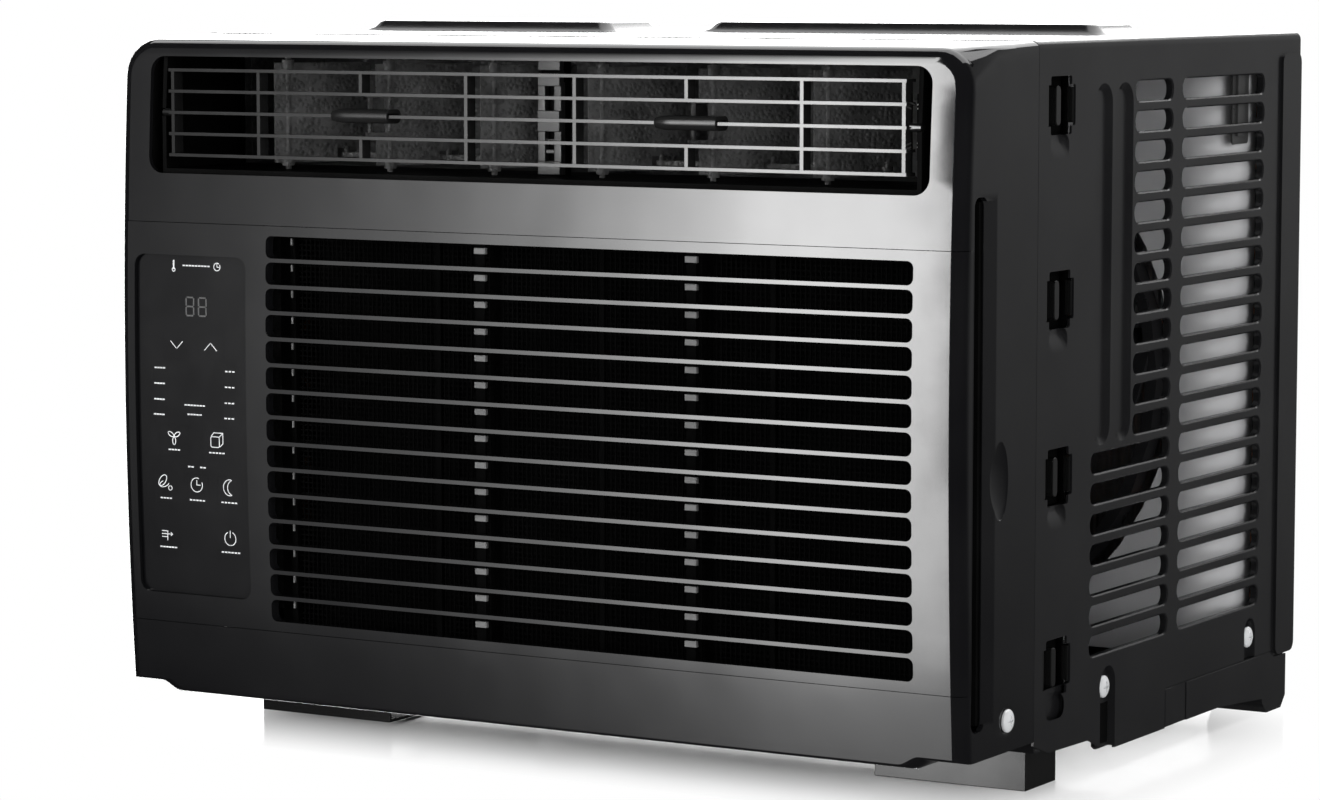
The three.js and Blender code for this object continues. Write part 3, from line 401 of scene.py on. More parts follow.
GLOSS = grained("gloss_black", (0.004, 0.004, 0.0045), (0.006, 0.006, 0.0065), 0.08, 0.015, 2500,
                0.000002, wave=(24, 0.00016))
SATIN = grained("satin_black", (0.008, 0.008, 0.009), (0.014, 0.014, 0.015), 0.3, 0.05, 1800, 0.00001)
PAINT = grained("powder_coat", (0.006, 0.006, 0.0065), (0.009, 0.009, 0.0095), 0.22, 0.04, 1400, 0.00001,
                specular=0.4)
GLASS = grained("overlay_film", (0.003, 0.003, 0.0035), (0.005, 0.005, 0.0055), 0.14, 0.03, 2500,
                0.000003, specular=0.28)
PRINT = grained("pale_print", (0.55, 0.56, 0.57), (0.68, 0.69, 0.70), 0.4, 0.05, 3000, 0.000002,
                patches=300)
FAINT = grained("faint_digit", 0.045, 0.06, 0.3, 0.05, 3000, 0.000002, patches=300)
VANE = speckled("vane_plastic", 0.045, 0.11, 2.4, 0.5, 0.32)
FOAM = speckled("moulded_foam", (0.03, 0.03, 0.031), 0.06, 3.2, 0.4, 0.55)
INNER = speckled("inner_plastic", 0.02, 0.045, 2.0, 0.15, 0.4)
# black net plastic, made darker still as painted shade for the space behind the slots
NET_AND_PAINTED_SHADE = grained("filter_net", 0.0006, 0.0016, 0.6, 0.05, 2200, 0.00001, specular=0.02)
# near-black fins: painted shade for the dark space behind the filter; the bare fins are the fin_stack
FINS_IN_PAINTED_SHADE = striped("fins_painted_shade", 0.0006, 0.002, "X", 1.8, 0.4, 0.0, 0.6, 0.03)
COLUMN = grained("column_plastic", 0.012, 0.022, 0.35, 0.06, 1500, 0.00002)
# flat black for the duct and dark inner parts; on the skirt's sheets it is painted shade
BLACK_AND_PAINTED_SHADE = grained("black_and_painted_shade", 0.002, 0.004, 0.55, 0.05, 1500, 0.00001, specular=0.02)
SIGN_WHITE = grained("sign_white", 0.8, 0.9, 0.4, 0.05, 3000, 0.000002, patches=300)
LOUVER_GLOSS = grained("louver_gloss", 0.006, 0.01, 0.12, 0.03, 1800, 0.000004)
GRIP_GLOSS = grained("grip_gloss", 0.008, 0.013, 0.2, 0.04, 1800, 0.000006)
GLOSS_HOOK = grained("hook_gloss", 0.004, 0.007, 0.15, 0.03, 1800, 0.000006)
EAR = grained("shroud_ear", 0.03, 0.05, 0.3, 0.05, 1200, 0.00001)
FOOT = grained("foot_enamel", 0.004, 0.007, 0.1, 0.02, 1200, 0.000004, specular=0.24)
# light grey: painted light on the upper ends of the dark ribs in each slot
RIB_TOP_LIGHT = grained("rib_top_painted_light", 0.10, 0.15, 0.45, 0.05, 1500, 0.00001)
GREY = grained("shroud_grey", (0.42, 0.42, 0.43), (0.52, 0.52, 0.53), 0.38, 0.06, 900, 0.00002)
ZINC = spangled("galvanised", (0.40, 0.40, 0.41), (0.46, 0.46, 0.47), 5, 0.42)
BRIGHT = grained("zinc_plate", (0.66, 0.67, 0.68), (0.8, 0.81, 0.82), 0.3, 0.08, 1500, 0.00002,
                 metallic=0.35)
FINS = striped("fin_stack", (0.34, 0.35, 0.36), (0.40, 0.41, 0.42), "X", 1.8, 0.5, 1.0, 0.42)
COPPER = grained("copper", (0.45, 0.17, 0.08), (0.72, 0.33, 0.17), 0.3, 0.1, 800, 0.00003, metallic=1.0,
                 patches=60)
RUBBER = grained("rubber", 0.015, 0.03, 0.75, 0.08, 900, 0.00008)
BOARD = grained("board_green", (0.01, 0.06, 0.03), (0.02, 0.12, 0.06), 0.35, 0.1, 600, 0.00005, patches=120)
ENAMEL = grained("compressor_enamel", 0.008, 0.016, 0.25, 0.06, 300, 0.00008)


# ---------- front bezel ----------
def bezel_outline(inset, edge=0.0, lift=0.0, corner=CORNER):
    """The bezel seen from the front; inset shrinks it all round, and edge adds the rounding at the face."""
    right = HALF - inset - edge
    top = BEZEL_HIGH.z + lift - inset - edge
    low = FLOOR_OF_BEZEL + inset + edge * LOW_ROUND
    radius = max(corner - inset - edge, 0.5)
    steps = 6
    half_line = []
    for k in range(steps + 1):
        share = k / steps
        x = STEP["from"] + (STEP["to"] - STEP["from"]) * share - inset - edge
        half_line.append((x, low + STEP["rise"] * (3 * share**2 - 2 * share**3)))
    half_line.append((right, low + STEP["rise"]))
    half_line += arc(right - radius, top - radius, radius, 0, 90, steps)
    return half_line + [(-x, z) for x, z in reversed(half_line)]


# planes behind the filter slot that keep the shading of its ramp out of the flat side
SIDE_PLANES = (FILTER_SLOT["back"] + 10.5, FILTER_SLOT["back"] + 28)


def bezel_block(inset, back, steps=7):
    fillet = FILLET - inset
    rings = [[(x, back, z) for x, z in bezel_outline(inset, 0, TOP_LIFT, REAR_CORNER)]]
    shoulder = FRONT + SHOULDER["behind"]
    outline = bezel_outline(inset, 0, SHOULDER["lift"], SHOULDER["corner"])
    rings.append([(x, shoulder, z) for x, z in outline])
    for k in range(steps + 1):
        turn = math.radians(90 * k / steps)
        outline = bezel_outline(inset, fillet * (1 - math.cos(turn)))
        y = FRONT + inset + fillet * (1 - math.sin(turn))
        rings.append([(x, y, z) for x, z in outline])
    bm = bmesh.new()
    add_loft(bm, rings)
    level = FLOOR_OF_BEZEL + CROWN_STRIP
    while level < BEZEL_HIGH.z:
        cut_edges(bm, "z", level)
        level += CROWN_STRIP
    for y in SIDE_PLANES:
        cut_edges(bm, "y", y)
    for vertex in bm.verts:
        if vertex.co.y < FRONT + inset + fillet + 0.1:
            vertex.co.y += crown(vertex.co.z)
    return bm


def add_screw_holes(bm, y):
    """A clear hole and a shallow dimple for a screw head in both side walls."""
    for side in (1, -1):
        profile = [(0, -8), (2.3, -8), (2.3, -0.7), (5.9, -0.7), (7.4, 0.4), (7.4, 3), (0, 3)]
        add_turned(bm, "x", (y, SCREW_HEIGHT), [(r, side * (HALF + out)) for r, out in profile], 28)


def make_bezel():
    shell = mesh_object("front_bezel_shell", bezel_block(0, SEAM))
    carve(shell, bezel_block(WALL, SEAM + 20))
    outline = rounded(-MOUTH["half"], MOUTH["low"], MOUTH["half"], MOUTH["high"], MOUTH["corner"], 8)
    carve(shell, prism_tool("y", outline, FRONT - 6, FRONT + 20))
    carve(shell, box_tool((PANEL["left"] - GAP, FRONT - 5, PANEL["low"] - GAP),
                          (HALF + 5, PANEL["back"] + GAP, PANEL["high"] + GAP)))
    side = bmesh.new()
    slot_front, slot_back = FILTER_SLOT["front"], FILTER_SLOT["back"]
    slot = rounded(slot_front, FILTER_SLOT["low"], slot_back, FILTER_SLOT["high"], 4.6, 8)
    add_prism(side, "x", slot, HALF - 8, HALF + 5)
    add_prism(side, "z", circle(DRAIN["x"], DRAIN["y"], DRAIN["radius"], 24), 0, FLOOR_OF_BEZEL + 10)
    add_screw_holes(side, SCREW_Y["bezel"])
    carve(shell, side)
    slant = [(HALF + 1, slot_back - 1), (HALF + 1, slot_back + 9.5), (HALF, slot_back + 9),
             (HALF - 2.1, slot_back - 1)]
    carve(shell, prism_tool("z", slant, FILTER_SLOT["low"] + 3, FILTER_SLOT["high"] - 2))
    thumb = bmesh.new()
    bmesh.ops.create_uvsphere(thumb, u_segments=32, v_segments=20, radius=1)
    bmesh.ops.scale(thumb, vec=THUMB["sizes"], verts=thumb.verts)
    turn = Matrix.Rotation(math.radians(THUMB["turn"]), 3, "Z")
    bmesh.ops.rotate(thumb, cent=(0, 0, 0), matrix=turn, verts=thumb.verts)
    bmesh.ops.translate(thumb, vec=(HALF + 0.1, THUMB["y"], THUMB["z"]), verts=thumb.verts)
    carve(shell, thumb)
    soften(shell, 0.45, 2, 38)
    finish_piece(shell, "chassis", GLOSS, "bezel_plastic", "front_bezel")


# ---------- intake panel ----------
def control_outline(grow):
    return rounded(CONTROL["left"] - grow, CONTROL["low"] - grow, CONTROL["right"] + grow,
                   CONTROL["high"] + grow, CONTROL["corner"], 8)


def make_intake():
    panel = mesh_object("intake_grille", bezel_block(0, PANEL["back"]))
    region = box_tool((PANEL["left"], FRONT - 5, PANEL["low"]), (HALF + 5, PANEL["back"], PANEL["high"]))
    carve(panel, region, "INTERSECT")
    carve(panel, bezel_block(6.2, REAR))
    tools = bmesh.new()
    for i in range(SLOTS["count"]):
        z = SLOTS["first"] - i * SLOTS["pitch"]
        slot = rounded(SLOTS["left"], z, SLOTS["right"], z + SLOTS["height"], SLOTS["corner"], 5)
        add_prism(tools, "y", slot, FRONT - 5, FRONT + 22)
    carve(panel, tools)
    recess = bmesh.new()
    outline = control_outline(0)
    rings = []
    for y in (-8, CONTROL["drop"] + 2.3):
        rings.append([(x, FRONT + y + (crown(z) if y > 0 else 0), z) for x, z in outline])
    add_loft(recess, rings)
    carve(panel, recess)
    soften(panel, 0.5, 2, 38)
    finish_piece(panel, "chassis", GLOSS, "bezel_plastic", "intake_panel")


RIBS = {"at": (-25, 91), "half": 2.7, "front": FRONT + 8, "back": FRONT + 9.4}


def make_intake_ribs():
    """The two upright ribs behind the slots, near black as painted shade."""
    bm = bmesh.new()
    for x in RIBS["at"]:
        add_box(bm, (x - RIBS["half"], RIBS["front"], PANEL["low"] + 2),
                (x + RIBS["half"], RIBS["back"], PANEL["high"] - 4))
    add_piece("intake_ribs", bm, "chassis", NET_AND_PAINTED_SHADE, "bezel_plastic", 0.3)


# ---------- cabinet ----------
GRILLE = {"rows": 19, "top": 331.2, "pitch": 14.55, "height": 9.8, "short_rows": 12, "pad": 2.6}
COLUMNS = {"rear": (44.5, 146.5), "short": (-11, 32.5), "long": (-58, 32.5)}
SNAPS = {"tops": (335.4, 245.6, 163.2, 73.9), "height": 27, "from": -109.5, "to": -79, "shoulder": 4}
GROOVES = {"at": ((-56.5, -37.6), (-33.5, -14)), "low": 160, "high": 331, "flank": 3.4, "deep": 2.6}
RAIL = {"from": 168, "to": 192.3, "low": 29.4, "high": 341.3, "proud": 1.5, "gutter": 11.5}
SKIRT = {"front": 20, "middle": 12, "rear": 32, "front_to": -40, "middle_to": 31}
CHANNELS = {"at": ((-45, -28), (130, 144)), "low": 4, "high": 53, "flank": 1.5, "deep": 3.0}
SHEET = 1.2
EDGE_RADIUS = 4
PLATEAUS = ((-225, 5, -66, 62), (-38, 40, 195, 96))
PLATEAU_SLOPE = {"x": 9, "y": 4.5}


def cabinet_outline(inset):
    right = HALF - inset
    top = TOP - inset
    radius = EDGE_RADIUS - inset
    half_line = [(right, SKIRT["middle"] - inset)] + arc(right - radius, top - radius, radius, 0, 90, 6)
    return half_line + [(-x, z) for x, z in reversed(half_line)]


def grille_slots():
    for row in range(GRILLE["rows"]):
        high = GRILLE["top"] - row * GRILLE["pitch"]
        front_column = COLUMNS["short"] if row < GRILLE["short_rows"] else COLUMNS["long"]
        for y0, y1 in (front_column, COLUMNS["rear"]):
            yield y0, high - GRILLE["height"], y1, high


def add_side_boxes(bm, depth, y0, z0, y1, z1, proud=0.0):
    """The same box on both side walls, from a depth inside the wall's outer face to a distance outside."""
    add_box(bm, (HALF - depth, y0, z0), (HALF + proud, y1, z1))
    add_box(bm, (-HALF - proud, y0, z0), (-HALF + depth, y1, z1))


def add_side_prisms(bm, outline, depth=8, proud=5):
    """The same (y, z) outline through both side walls, from a depth inside to a distance outside."""
    for side in (1, -1):
        x0, x1 = sorted((side * (HALF - depth), side * (HALF + proud)))
        add_prism(bm, "x", outline, x0, x1)


def add_side_lofts(bm, levels):
    """The same body on both side walls, through (depth, outline) levels."""
    for side in (1, -1):
        add_loft(bm, [[(side * (HALF - depth), y, z) for y, z in outline] for depth, outline in levels])


def add_slot(bm, y0, z0, y1, z1):
    """A round-ended slot through both side walls, with its outer edge broken all round."""
    levels = []
    for depth, grow in ((-1, 1.7), (0.7, 0.0), (8, 0.0)):
        levels.append((depth, rounded(y0 - grow, z0 - grow, y1 + grow, z1 + grow, 4.6 + grow, 6)))
    add_side_lofts(bm, levels)


def add_pressing(bm, box, deep, flanks, radius=None):
    """A pressed recess in both side walls; flanks are its slopes at the low y, high y and both z ends."""
    y0, z0, y1, z1 = box
    levels = []
    for depth, share in ((-1, -0.3), (0.0, 0.0), (deep, 1.0)):
        a0, a1 = y0 + flanks[0] * share, y1 - flanks[1] * share
        b0, b1 = z0 + flanks[2] * share, z1 - flanks[2] * share
        corner = (a1 - a0) / 2 - 0.01 if radius is None else radius
        levels.append((depth, rounded(a0, b0, a1, b1, corner, 6)))
    add_side_lofts(bm, levels)


def pressed_shapes():
    """Two long grooves, the channels at the lower screws, the rail's gutter and the windows' scoops."""
    bm = bmesh.new()
    for shapes in (GROOVES, CHANNELS):
        flank = shapes["flank"]
        for y0, y1 in shapes["at"]:
            add_pressing(bm, (y0, shapes["low"], y1, shapes["high"]), shapes["deep"], (flank, flank, flank))
    gutter = (RAIL["from"] - RAIL["gutter"], RAIL["low"] - 12, RAIL["from"] - 0.2, RAIL["high"] + 3)
    add_pressing(bm, gutter, 2.0, (3.5, 0.4, 2), 4)
    for high in SNAPS["tops"]:
        low = high - SNAPS["height"]
        levels = []
        for depth, narrow, short, corner in ((-0.8, 0, 0, 5), (0, 1, 1, 5), (2.6, 4, 9, 1)):
            outline = rounded(-106.5 + narrow, low - 12 + short, -84.5 - narrow, low + 0.2, corner, 5)
            levels.append((depth, outline))
        add_side_lofts(bm, levels)
    return bm


def make_cabinet():
    shell = mesh_object("cabinet_shell", prism_tool("y", cabinet_outline(0), SEAM + GAP, REAR))
    carve(shell, prism_tool("y", cabinet_outline(SHEET), SEAM - 5, REAR - SHEET))
    carve(shell, box_tool((-HALF + 30, REAR - 8, 0), (HALF - 30, REAR + 5, TOP - 11)))
    extra = bmesh.new()
    pad_low = GRILLE["top"] - (GRILLE["rows"] - 1) * GRILLE["pitch"] - GRILLE["height"] - 3
    add_side_boxes(extra, SHEET + GRILLE["pad"], COLUMNS["long"][0] - 3, pad_low,
                   COLUMNS["rear"][1] + 3, GRILLE["top"] + 3, -0.4)
    for high in SNAPS["tops"]:
        low = high - SNAPS["height"]
        add_side_boxes(extra, 3.8, -107, low - 12, -84, low - 0.2, -0.4)
    for y0, y1 in CHANNELS["at"]:
        add_side_boxes(extra, SHEET + CHANNELS["deep"], y0 - 1, SKIRT["middle"] + 1,
                       y1 + 1, CHANNELS["high"] + 1, -0.4)
    gutter = RAIL["from"] - RAIL["gutter"]
    add_side_boxes(extra, 3.2, gutter - 1, RAIL["low"], RAIL["from"] + 2, RAIL["high"] + 5, -0.4)
    strip = rounded(RAIL["from"], RAIL["low"], RAIL["to"], RAIL["high"], 5, 5)
    add_side_prisms(extra, strip, 0.6, RAIL["proud"])
    rise = cad_high.z / MM
    for x0, y0, x1, y1 in PLATEAUS:
        rings = []
        for z, share in ((TOP - 0.6, 0), (TOP + 0.1, 0), (TOP + 1.4, 0.5), (rise - 0.8, 0.85), (rise, 1)):
            dx, dy = PLATEAU_SLOPE["x"] * share, PLATEAU_SLOPE["y"] * share
            rings.append([(x, y, z) for x, y in rounded(x0 + dx, y0 + dy, x1 - dx, y1 - dy, 6, 4)])
        add_loft(extra, rings)
    carve(shell, extra, "UNION")
    tools = bmesh.new()
    for y0, z0, y1, z1 in grille_slots():
        add_slot(tools, y0, z0, y1, z1)
    for high in SNAPS["tops"]:
        low, shoulder = high - SNAPS["height"], SNAPS["shoulder"]
        add_side_prisms(tools, rounded(SNAPS["from"] + shoulder, low, SNAPS["to"] - shoulder, high, 1.2, 3))
        add_side_prisms(tools, rounded(SNAPS["from"], low + shoulder, SNAPS["to"], high - shoulder, 1.2, 3))
    front_to, front, middle = SKIRT["front_to"], SKIRT["front"], SKIRT["middle"]
    swoop = [(SEAM - 5, 0), (front_to + 4, 0), (front_to + 4, middle), (front_to - 3, middle + 1),
             (front_to - 10, front - 3), (front_to - 18, front), (SEAM + 16, front + 1),
             (SEAM + 5, front + 5), (SEAM - 5, front + 8.5)]
    add_side_prisms(tools, swoop, 20)
    add_side_boxes(tools, 20, SKIRT["middle_to"], 0, RAIL["from"], SKIRT["rear"], 5)
    add_side_boxes(tools, 20, RAIL["from"] - 1, -1, REAR + 5, RAIL["low"], 5)
    add_screw_holes(tools, SCREW_Y["cabinet_front"])
    add_screw_holes(tools, SCREW_Y["cabinet_rear"])
    carve(shell, tools)
    carve(shell, pressed_shapes())
    soften(shell, 0.5, 2, 32)
    finish_piece(shell, "chassis", PAINT, "painted_steel", "cabinet")


# each hook part: front, back, gap below and above, corner, steps, and its near and far depth
SNAP_PARTS = (
    (-97, -91.6, 4, 4.5, 2.4, 5, 1.4, 7.5),
    (-108.6, -106.2, 4.8, 4.8, 0.8, 3, 1.6, 6),
    (-104.8, -102, 3.5, 3.5, 0.8, 3, 2.6, 6),
    (-80.8, -79.6, 5.2, 5.2, 0.5, 3, 0.6, 4),
)


def make_snap_hooks():
    """Parts of the bezel's snap hooks that stand in the cabinet's windows."""
    bm = bmesh.new()
    for high in SNAPS["tops"]:
        low = high - SNAPS["height"]
        for y0, y1, below, above, corner, steps, outer, inner in SNAP_PARTS:
            add_side_prisms(bm, rounded(y0, low + below, y1, high - above, corner, steps), inner, -outer)
    add_piece("snap_hooks", bm, "chassis", GLOSS_HOOK, "bezel_plastic", 0.5)


def make_snap_wells():
    """The dark inner skin of the bezel behind each window."""
    bm = bmesh.new()
    for high in SNAPS["tops"]:
        add_side_boxes(bm, 9.5, -111, high - SNAPS["height"] - 1, -78, high + 2, -8)
    add_piece("snap_wells", bm, "chassis", BLACK_AND_PAINTED_SHADE, "bezel_plastic", 0.3)


# ---------- control panel ----------
KEY_SIZES = {
    "temp_down": (-200.7, 199, 16, 13),
    "temp_up": (-179.9, 199, 16, 13),
    "fan": (-203.1, 151, 18, 16),
    "mode": (-176.7, 151, 18, 16),
    "eco": (-209, 127, 15, 16),
    "timer": (-189.8, 127, 15, 16),
    "sleep": (-169.6, 127, 15, 16),
    "filter": (-208.9, 102, 16, 16),
    "power": (-170.1, 102, 16, 16),
}
FILM = {"near": CONTROL["drop"], "far": CONTROL["drop"] + 2, "seam": 0.03}
LINE = 0.42


def face_slab(bm, outline, near, far):
    """A slab between two depths behind the crowned face, within an outline of (x, z)."""
    slab = bmesh.new()
    add_prism(slab, "y", outline, FRONT + near, FRONT + far)
    lowest = min(z for x, z in outline)
    highest = max(z for x, z in outline)
    level = math.ceil(lowest / CROWN_STRIP) * CROWN_STRIP
    while level < highest:
        cut_edges(slab, "z", level)
        level += CROWN_STRIP
    for vertex in slab.verts:
        vertex.co.y += crown(vertex.co.z)
    spare = bpy.data.meshes.new("spare")
    slab.to_mesh(spare)
    slab.free()
    bm.from_mesh(spare)
    bpy.data.meshes.remove(spare)


def key_window(name, grow):
    x, z, width, height = KEY_SIZES[name]
    return rectangle(x - width / 2 - grow, z - height / 2 - grow, x + width / 2 + grow, z + height / 2 + grow)


def make_film():
    bm = bmesh.new()
    face_slab(bm, control_outline(-0.12), FILM["near"], FILM["far"])
    film = mesh_object("control_film", bm)
    tools = bmesh.new()
    for name in KEY_SIZES:
        add_prism(tools, "y", key_window(name, FILM["seam"]), FRONT - 4, FRONT + 12)
    carve(film, tools)
    finish_piece(film, "chassis", GLASS, "control_glass", "control_overlay", "display_window")
    for name, (x, z, width, height) in KEY_SIZES.items():
        bm = bmesh.new()
        face_slab(bm, key_window(name, -FILM["seam"]), FILM["near"], FILM["far"])
        add_prism(bm, "y", circle(x, z, 2.2, 16), FRONT + FILM["far"] - 0.5 + crown(z), FRONT + 9.8)
        add_piece(f"key_cap_{name}", bm, f"key_{name}_body", GLASS, "control_glass", 0, f"key_{name}")


def add_stroke(bm, points, width=LINE, closed=False):
    """A printed line through points of (x, z) on the control film."""
    pairs = list(zip(points, points[1:]))
    if closed:
        pairs.append((points[-1], points[0]))
    for (x0, z0), (x1, z1) in pairs:
        length = math.hypot(x1 - x0, z1 - z0)
        if length < 1e-6:
            continue
        along = ((x1 - x0) / length * width / 2, (z1 - z0) / length * width / 2)
        across = (-along[1], along[0])
        y = FRONT + FILM["near"] + crown((z0 + z1) / 2)
        corners = [
            (x0 - along[0] + across[0], z0 - along[1] + across[1]),
            (x0 - along[0] - across[0], z0 - along[1] - across[1]),
            (x1 + along[0] - across[0], z1 + along[1] - across[1]),
            (x1 + along[0] + across[0], z1 + along[1] + across[1]),
        ]
        add_prism(bm, "y", corners, y - 0.06, y + 0.03)


def draw_chevron(bm, x, z, up):
    add_stroke(bm, [(x - 3.6, z - 1.8 * up), (x, z + 1.8 * up), (x + 3.6, z - 1.8 * up)])


def draw_fan(bm, x, z):
    for turn in (150, 30, 270):
        lean = math.radians(turn)
        middle = (x + 2.2 * math.cos(lean), z + 2.2 * math.sin(lean))
        add_stroke(bm, arc(*middle, 1.9, 0, 360, 16, 0.5, lean))


def draw_mode(bm, x, z):
    add_stroke(bm, rounded(x - 3.8, z - 3.6, x + 1.4, z + 1.6, 0.9, 3), LINE, True)
    add_stroke(bm, [(x - 3.4, z + 1.9), (x - 1.9, z + 3.6), (x + 3.6, z + 3.6), (x + 3.6, z - 1.6),
                    (x + 1.8, z - 3.2)])
    add_stroke(bm, [(x + 1.4, z + 1.6), (x + 3.4, z + 3.4)])


def draw_eco(bm, x, z):
    add_stroke(bm, arc(x - 1.4, z + 1.2, 3.3, 0, 360, 18, 0.55, math.radians(50)))
    add_stroke(bm, arc(x - 0.4, z - 0.4, 3.0, 100, 330, 12, 0.5, math.radians(20)))
    add_stroke(bm, arc(x + 3.2, z - 2.4, 1.1, 0, 360, 12))


def draw_timer(bm, x, z):
    add_stroke(bm, arc(x, z, 3.5, 70, 380, 24))
    add_stroke(bm, [(x + 0.1, z + 2.2), (x + 0.1, z), (x + 2.2, z)])


def draw_moon(bm, x, z):
    add_stroke(bm, arc(x + 1.0, z, 3.8, 75, 285, 20, 1.05))
    add_stroke(bm, arc(x + 3.6, z, 3.9, 112, 248, 16, 1.0))


def draw_filter(bm, x, z):
    for rise in (-1.5, 0, 1.5):
        add_stroke(bm, [(x - 3.2, z + rise), (x - 0.2, z + rise)])
    add_stroke(bm, [(x + 0.2, z - 3), (x + 0.2, z + 3)])
    add_stroke(bm, [(x + 0.4, z), (x + 3.2, z)])
    add_stroke(bm, [(x + 2.3, z + 0.8), (x + 3.2, z), (x + 2.3, z - 0.8)])


def draw_power(bm, x, z):
    add_stroke(bm, arc(x, z, 3.4, 118, 422, 24))
    add_stroke(bm, [(x, z + 4.2), (x, z + 0.6)])


def draw_label(bm, x, z, length):
    """A plain dashed bar where a word would be."""
    dash = 0.75
    count = max(1, round(length / (dash + 1.15)))
    pitch = length / count
    for k in range(count):
        middle = x - length / 2 + pitch * (k + 0.5)
        add_stroke(bm, [(middle - dash / 2, z), (middle + dash / 2, z)], 0.7)


# what is printed on each key: a drawing, its place and what else it needs
KEY_PRINTS = {
    "temp_down": ((draw_chevron, -200.7, 199, -1),),
    "temp_up": ((draw_chevron, -179.9, 199, 1),),
    "fan": ((draw_fan, -203.1, 153.2), (draw_label, -203.1, 146.6, 7.5)),
    "mode": ((draw_mode, -176.7, 152.8), (draw_label, -176.9, 146.4, 10)),
    "eco": ((draw_eco, -209.4, 129.6), (draw_label, -208.9, 122, 7.5)),
    "timer": ((draw_timer, -189.8, 129.7), (draw_label, -189.6, 122, 9.8)),
    "sleep": ((draw_moon, -170.6, 129.5), (draw_label, -170.1, 122, 10.2)),
    "filter": ((draw_filter, -208.9, 103.9), (draw_label, -208.4, 97.3, 10.8)),
    "power": ((draw_power, -170.1, 104), (draw_label, -170, 97.1, 11.8)),
}
PANEL_LABELS = ((-190, 169.4, 13), (-190.2, 164.8, 9), (-193.1, 138.6, 4), (-185.7, 138.6, 4),
                (-188.6, 238.6, 17))


def make_prints():
    for name, drawings in KEY_PRINTS.items():
        bm = bmesh.new()
        for draw, *numbers in drawings:
            draw(bm, *numbers)
        add_piece(f"print_{name}", bm, f"key_{name}_body", PRINT, "control_glass", 0)
    bm = bmesh.new()
    for z in (187.2, 179.4, 171.5, 163.9):
        lean = (199 - z) * 0.035
        draw_label(bm, -210.8 - lean, z, 6.8)
        draw_label(bm, -167.8 - lean, z, 6.4)
    for x, z, length in PANEL_LABELS:
        draw_label(bm, x, z, length)
    add_stroke(bm, [(-202.4, 240.6), (-202.4, 237)], 0.9)
    add_stroke(bm, arc(-202.4, 236.4, 0.9, 0, 360, 10))
    add_stroke(bm, arc(-175.9, 238.5, 1.9, 60, 390, 14))
    add_stroke(bm, [(-175.9, 239.8), (-175.9, 238.4), (-174.6, 238.4)], 0.35)
    add_piece("panel_prints", bm, "chassis", PRINT, "control_glass", 0)
    bm = bmesh.new()
    for x in (-192.4, -184.8):
        for z in (213.9, 218.4, 222.9):
            add_stroke(bm, [(x - 1.6, z), (x + 1.6, z)], 0.8)
        for side in (-1, 1):
            add_stroke(bm, [(x + side * 2.3, 214.7), (x + side * 2.3, 217.6)], 0.8)
            add_stroke(bm, [(x + side * 2.3, 219.2), (x + side * 2.3, 222.1)], 0.8)
    add_piece("display_digits", bm, "chassis", FAINT, "control_glass", 0)


# ---------- filter behind the slots ----------
FILTER = {"left": -146, "right": 222, "front": FRONT + 14.5, "thick": 5, "low": 46, "high": 279, "rim": 9}
NET_PITCH = 2.6


def make_filter():
    y0, y1 = FILTER["front"], FILTER["front"] + FILTER["thick"]
    outline = rounded(FILTER["left"], FILTER["low"], FILTER["right"], FILTER["high"], 3, 4)
    filter_frame = mesh_object("filter_frame", prism_tool("y", outline, y0, y1))
    rim = FILTER["rim"]
    left, right = FILTER["left"] + rim, FILTER["right"] - rim
    low, high = FILTER["low"] + rim, FILTER["high"] - rim
    carve(filter_frame, prism_tool("y", rounded(left, low, right, high, 3, 4), y0 - 1, y1 + 1))
    bars = bmesh.new()
    width = FILTER["right"] - FILTER["left"]
    for share in (0.25, 0.5, 0.75):
        x = FILTER["left"] + share * width
        add_box(bars, (x - 1.5, y0 + 1, low - 1), (x + 1.5, y1 - 1, high + 1))
    carve(filter_frame, bars, "UNION")
    soften(filter_frame, 0.3)
    # the frame takes the same near-black colour: black plastic and painted shade
    finish_piece(filter_frame, "filter", NET_AND_PAINTED_SHADE, "fan_plastic", "air_filter")
    net = bmesh.new()
    middle = (y0 + y1) / 2
    x = left
    while x < right:
        add_box(net, (x - 0.35, middle - 0.5, low - 1), (x + 0.35, middle, high + 1))
        x += NET_PITCH
    z = low
    while z < high:
        add_box(net, (left - 1, middle - 0.1, z - 0.35), (right + 1, middle + 0.4, z + 0.35))
        z += NET_PITCH
    add_piece("filter_net", net, "filter", NET_AND_PAINTED_SHADE, "fan_plastic", 0)


SEAL_LOW = (212, FRONT + 21.4, 44)
SEAL_HIGH = (232, FRONT + 25, 281)


def make_filter_seal():
    """Foam strip between the bezel's side and the coil, behind the filter's edge."""
    bm = box_tool(SEAL_LOW, SEAL_HIGH)
    add_piece("filter_seal", bm, "chassis", BLACK_AND_PAINTED_SHADE, "rubber", 0.4)


def make_lit_rib_tops():
    """Lighter blocks at the upper end of every slot, on the ribs and at the filter frame's edge: painted
    light where these ends catch light.
    """
    bm = bmesh.new()
    for i in range(SLOTS["count"]):
        high = SLOTS["first"] - i * SLOTS["pitch"] + SLOTS["height"]
        for x in RIBS["at"]:
            add_box(bm, (x - 3.2, FRONT + 7.4, high - 5.2), (x + 3.2, RIBS["back"], high - 2.2))
        add_box(bm, (-137.4, FRONT + 11, high - 5), (-136.4, FRONT + 12, high - 1.6))
    add_piece("painted_lit_rib_tops", bm, "chassis", RIB_TOP_LIGHT, "bezel_plastic", 0.2)


# ---------- discharge details ----------
GRIP = {"length": 33, "height": 6.8, "front": FRONT + 1.8, "depth": 12.6, "z": 314, "x": 90.525}
BLADE = {"behind": 8, "half_y": 4.8, "half_z": 1.4}
FORK = {"pin": -6.157, "inner": 1.6, "thick": 2, "tip": FRONT + 24.5, "half": 1.5}


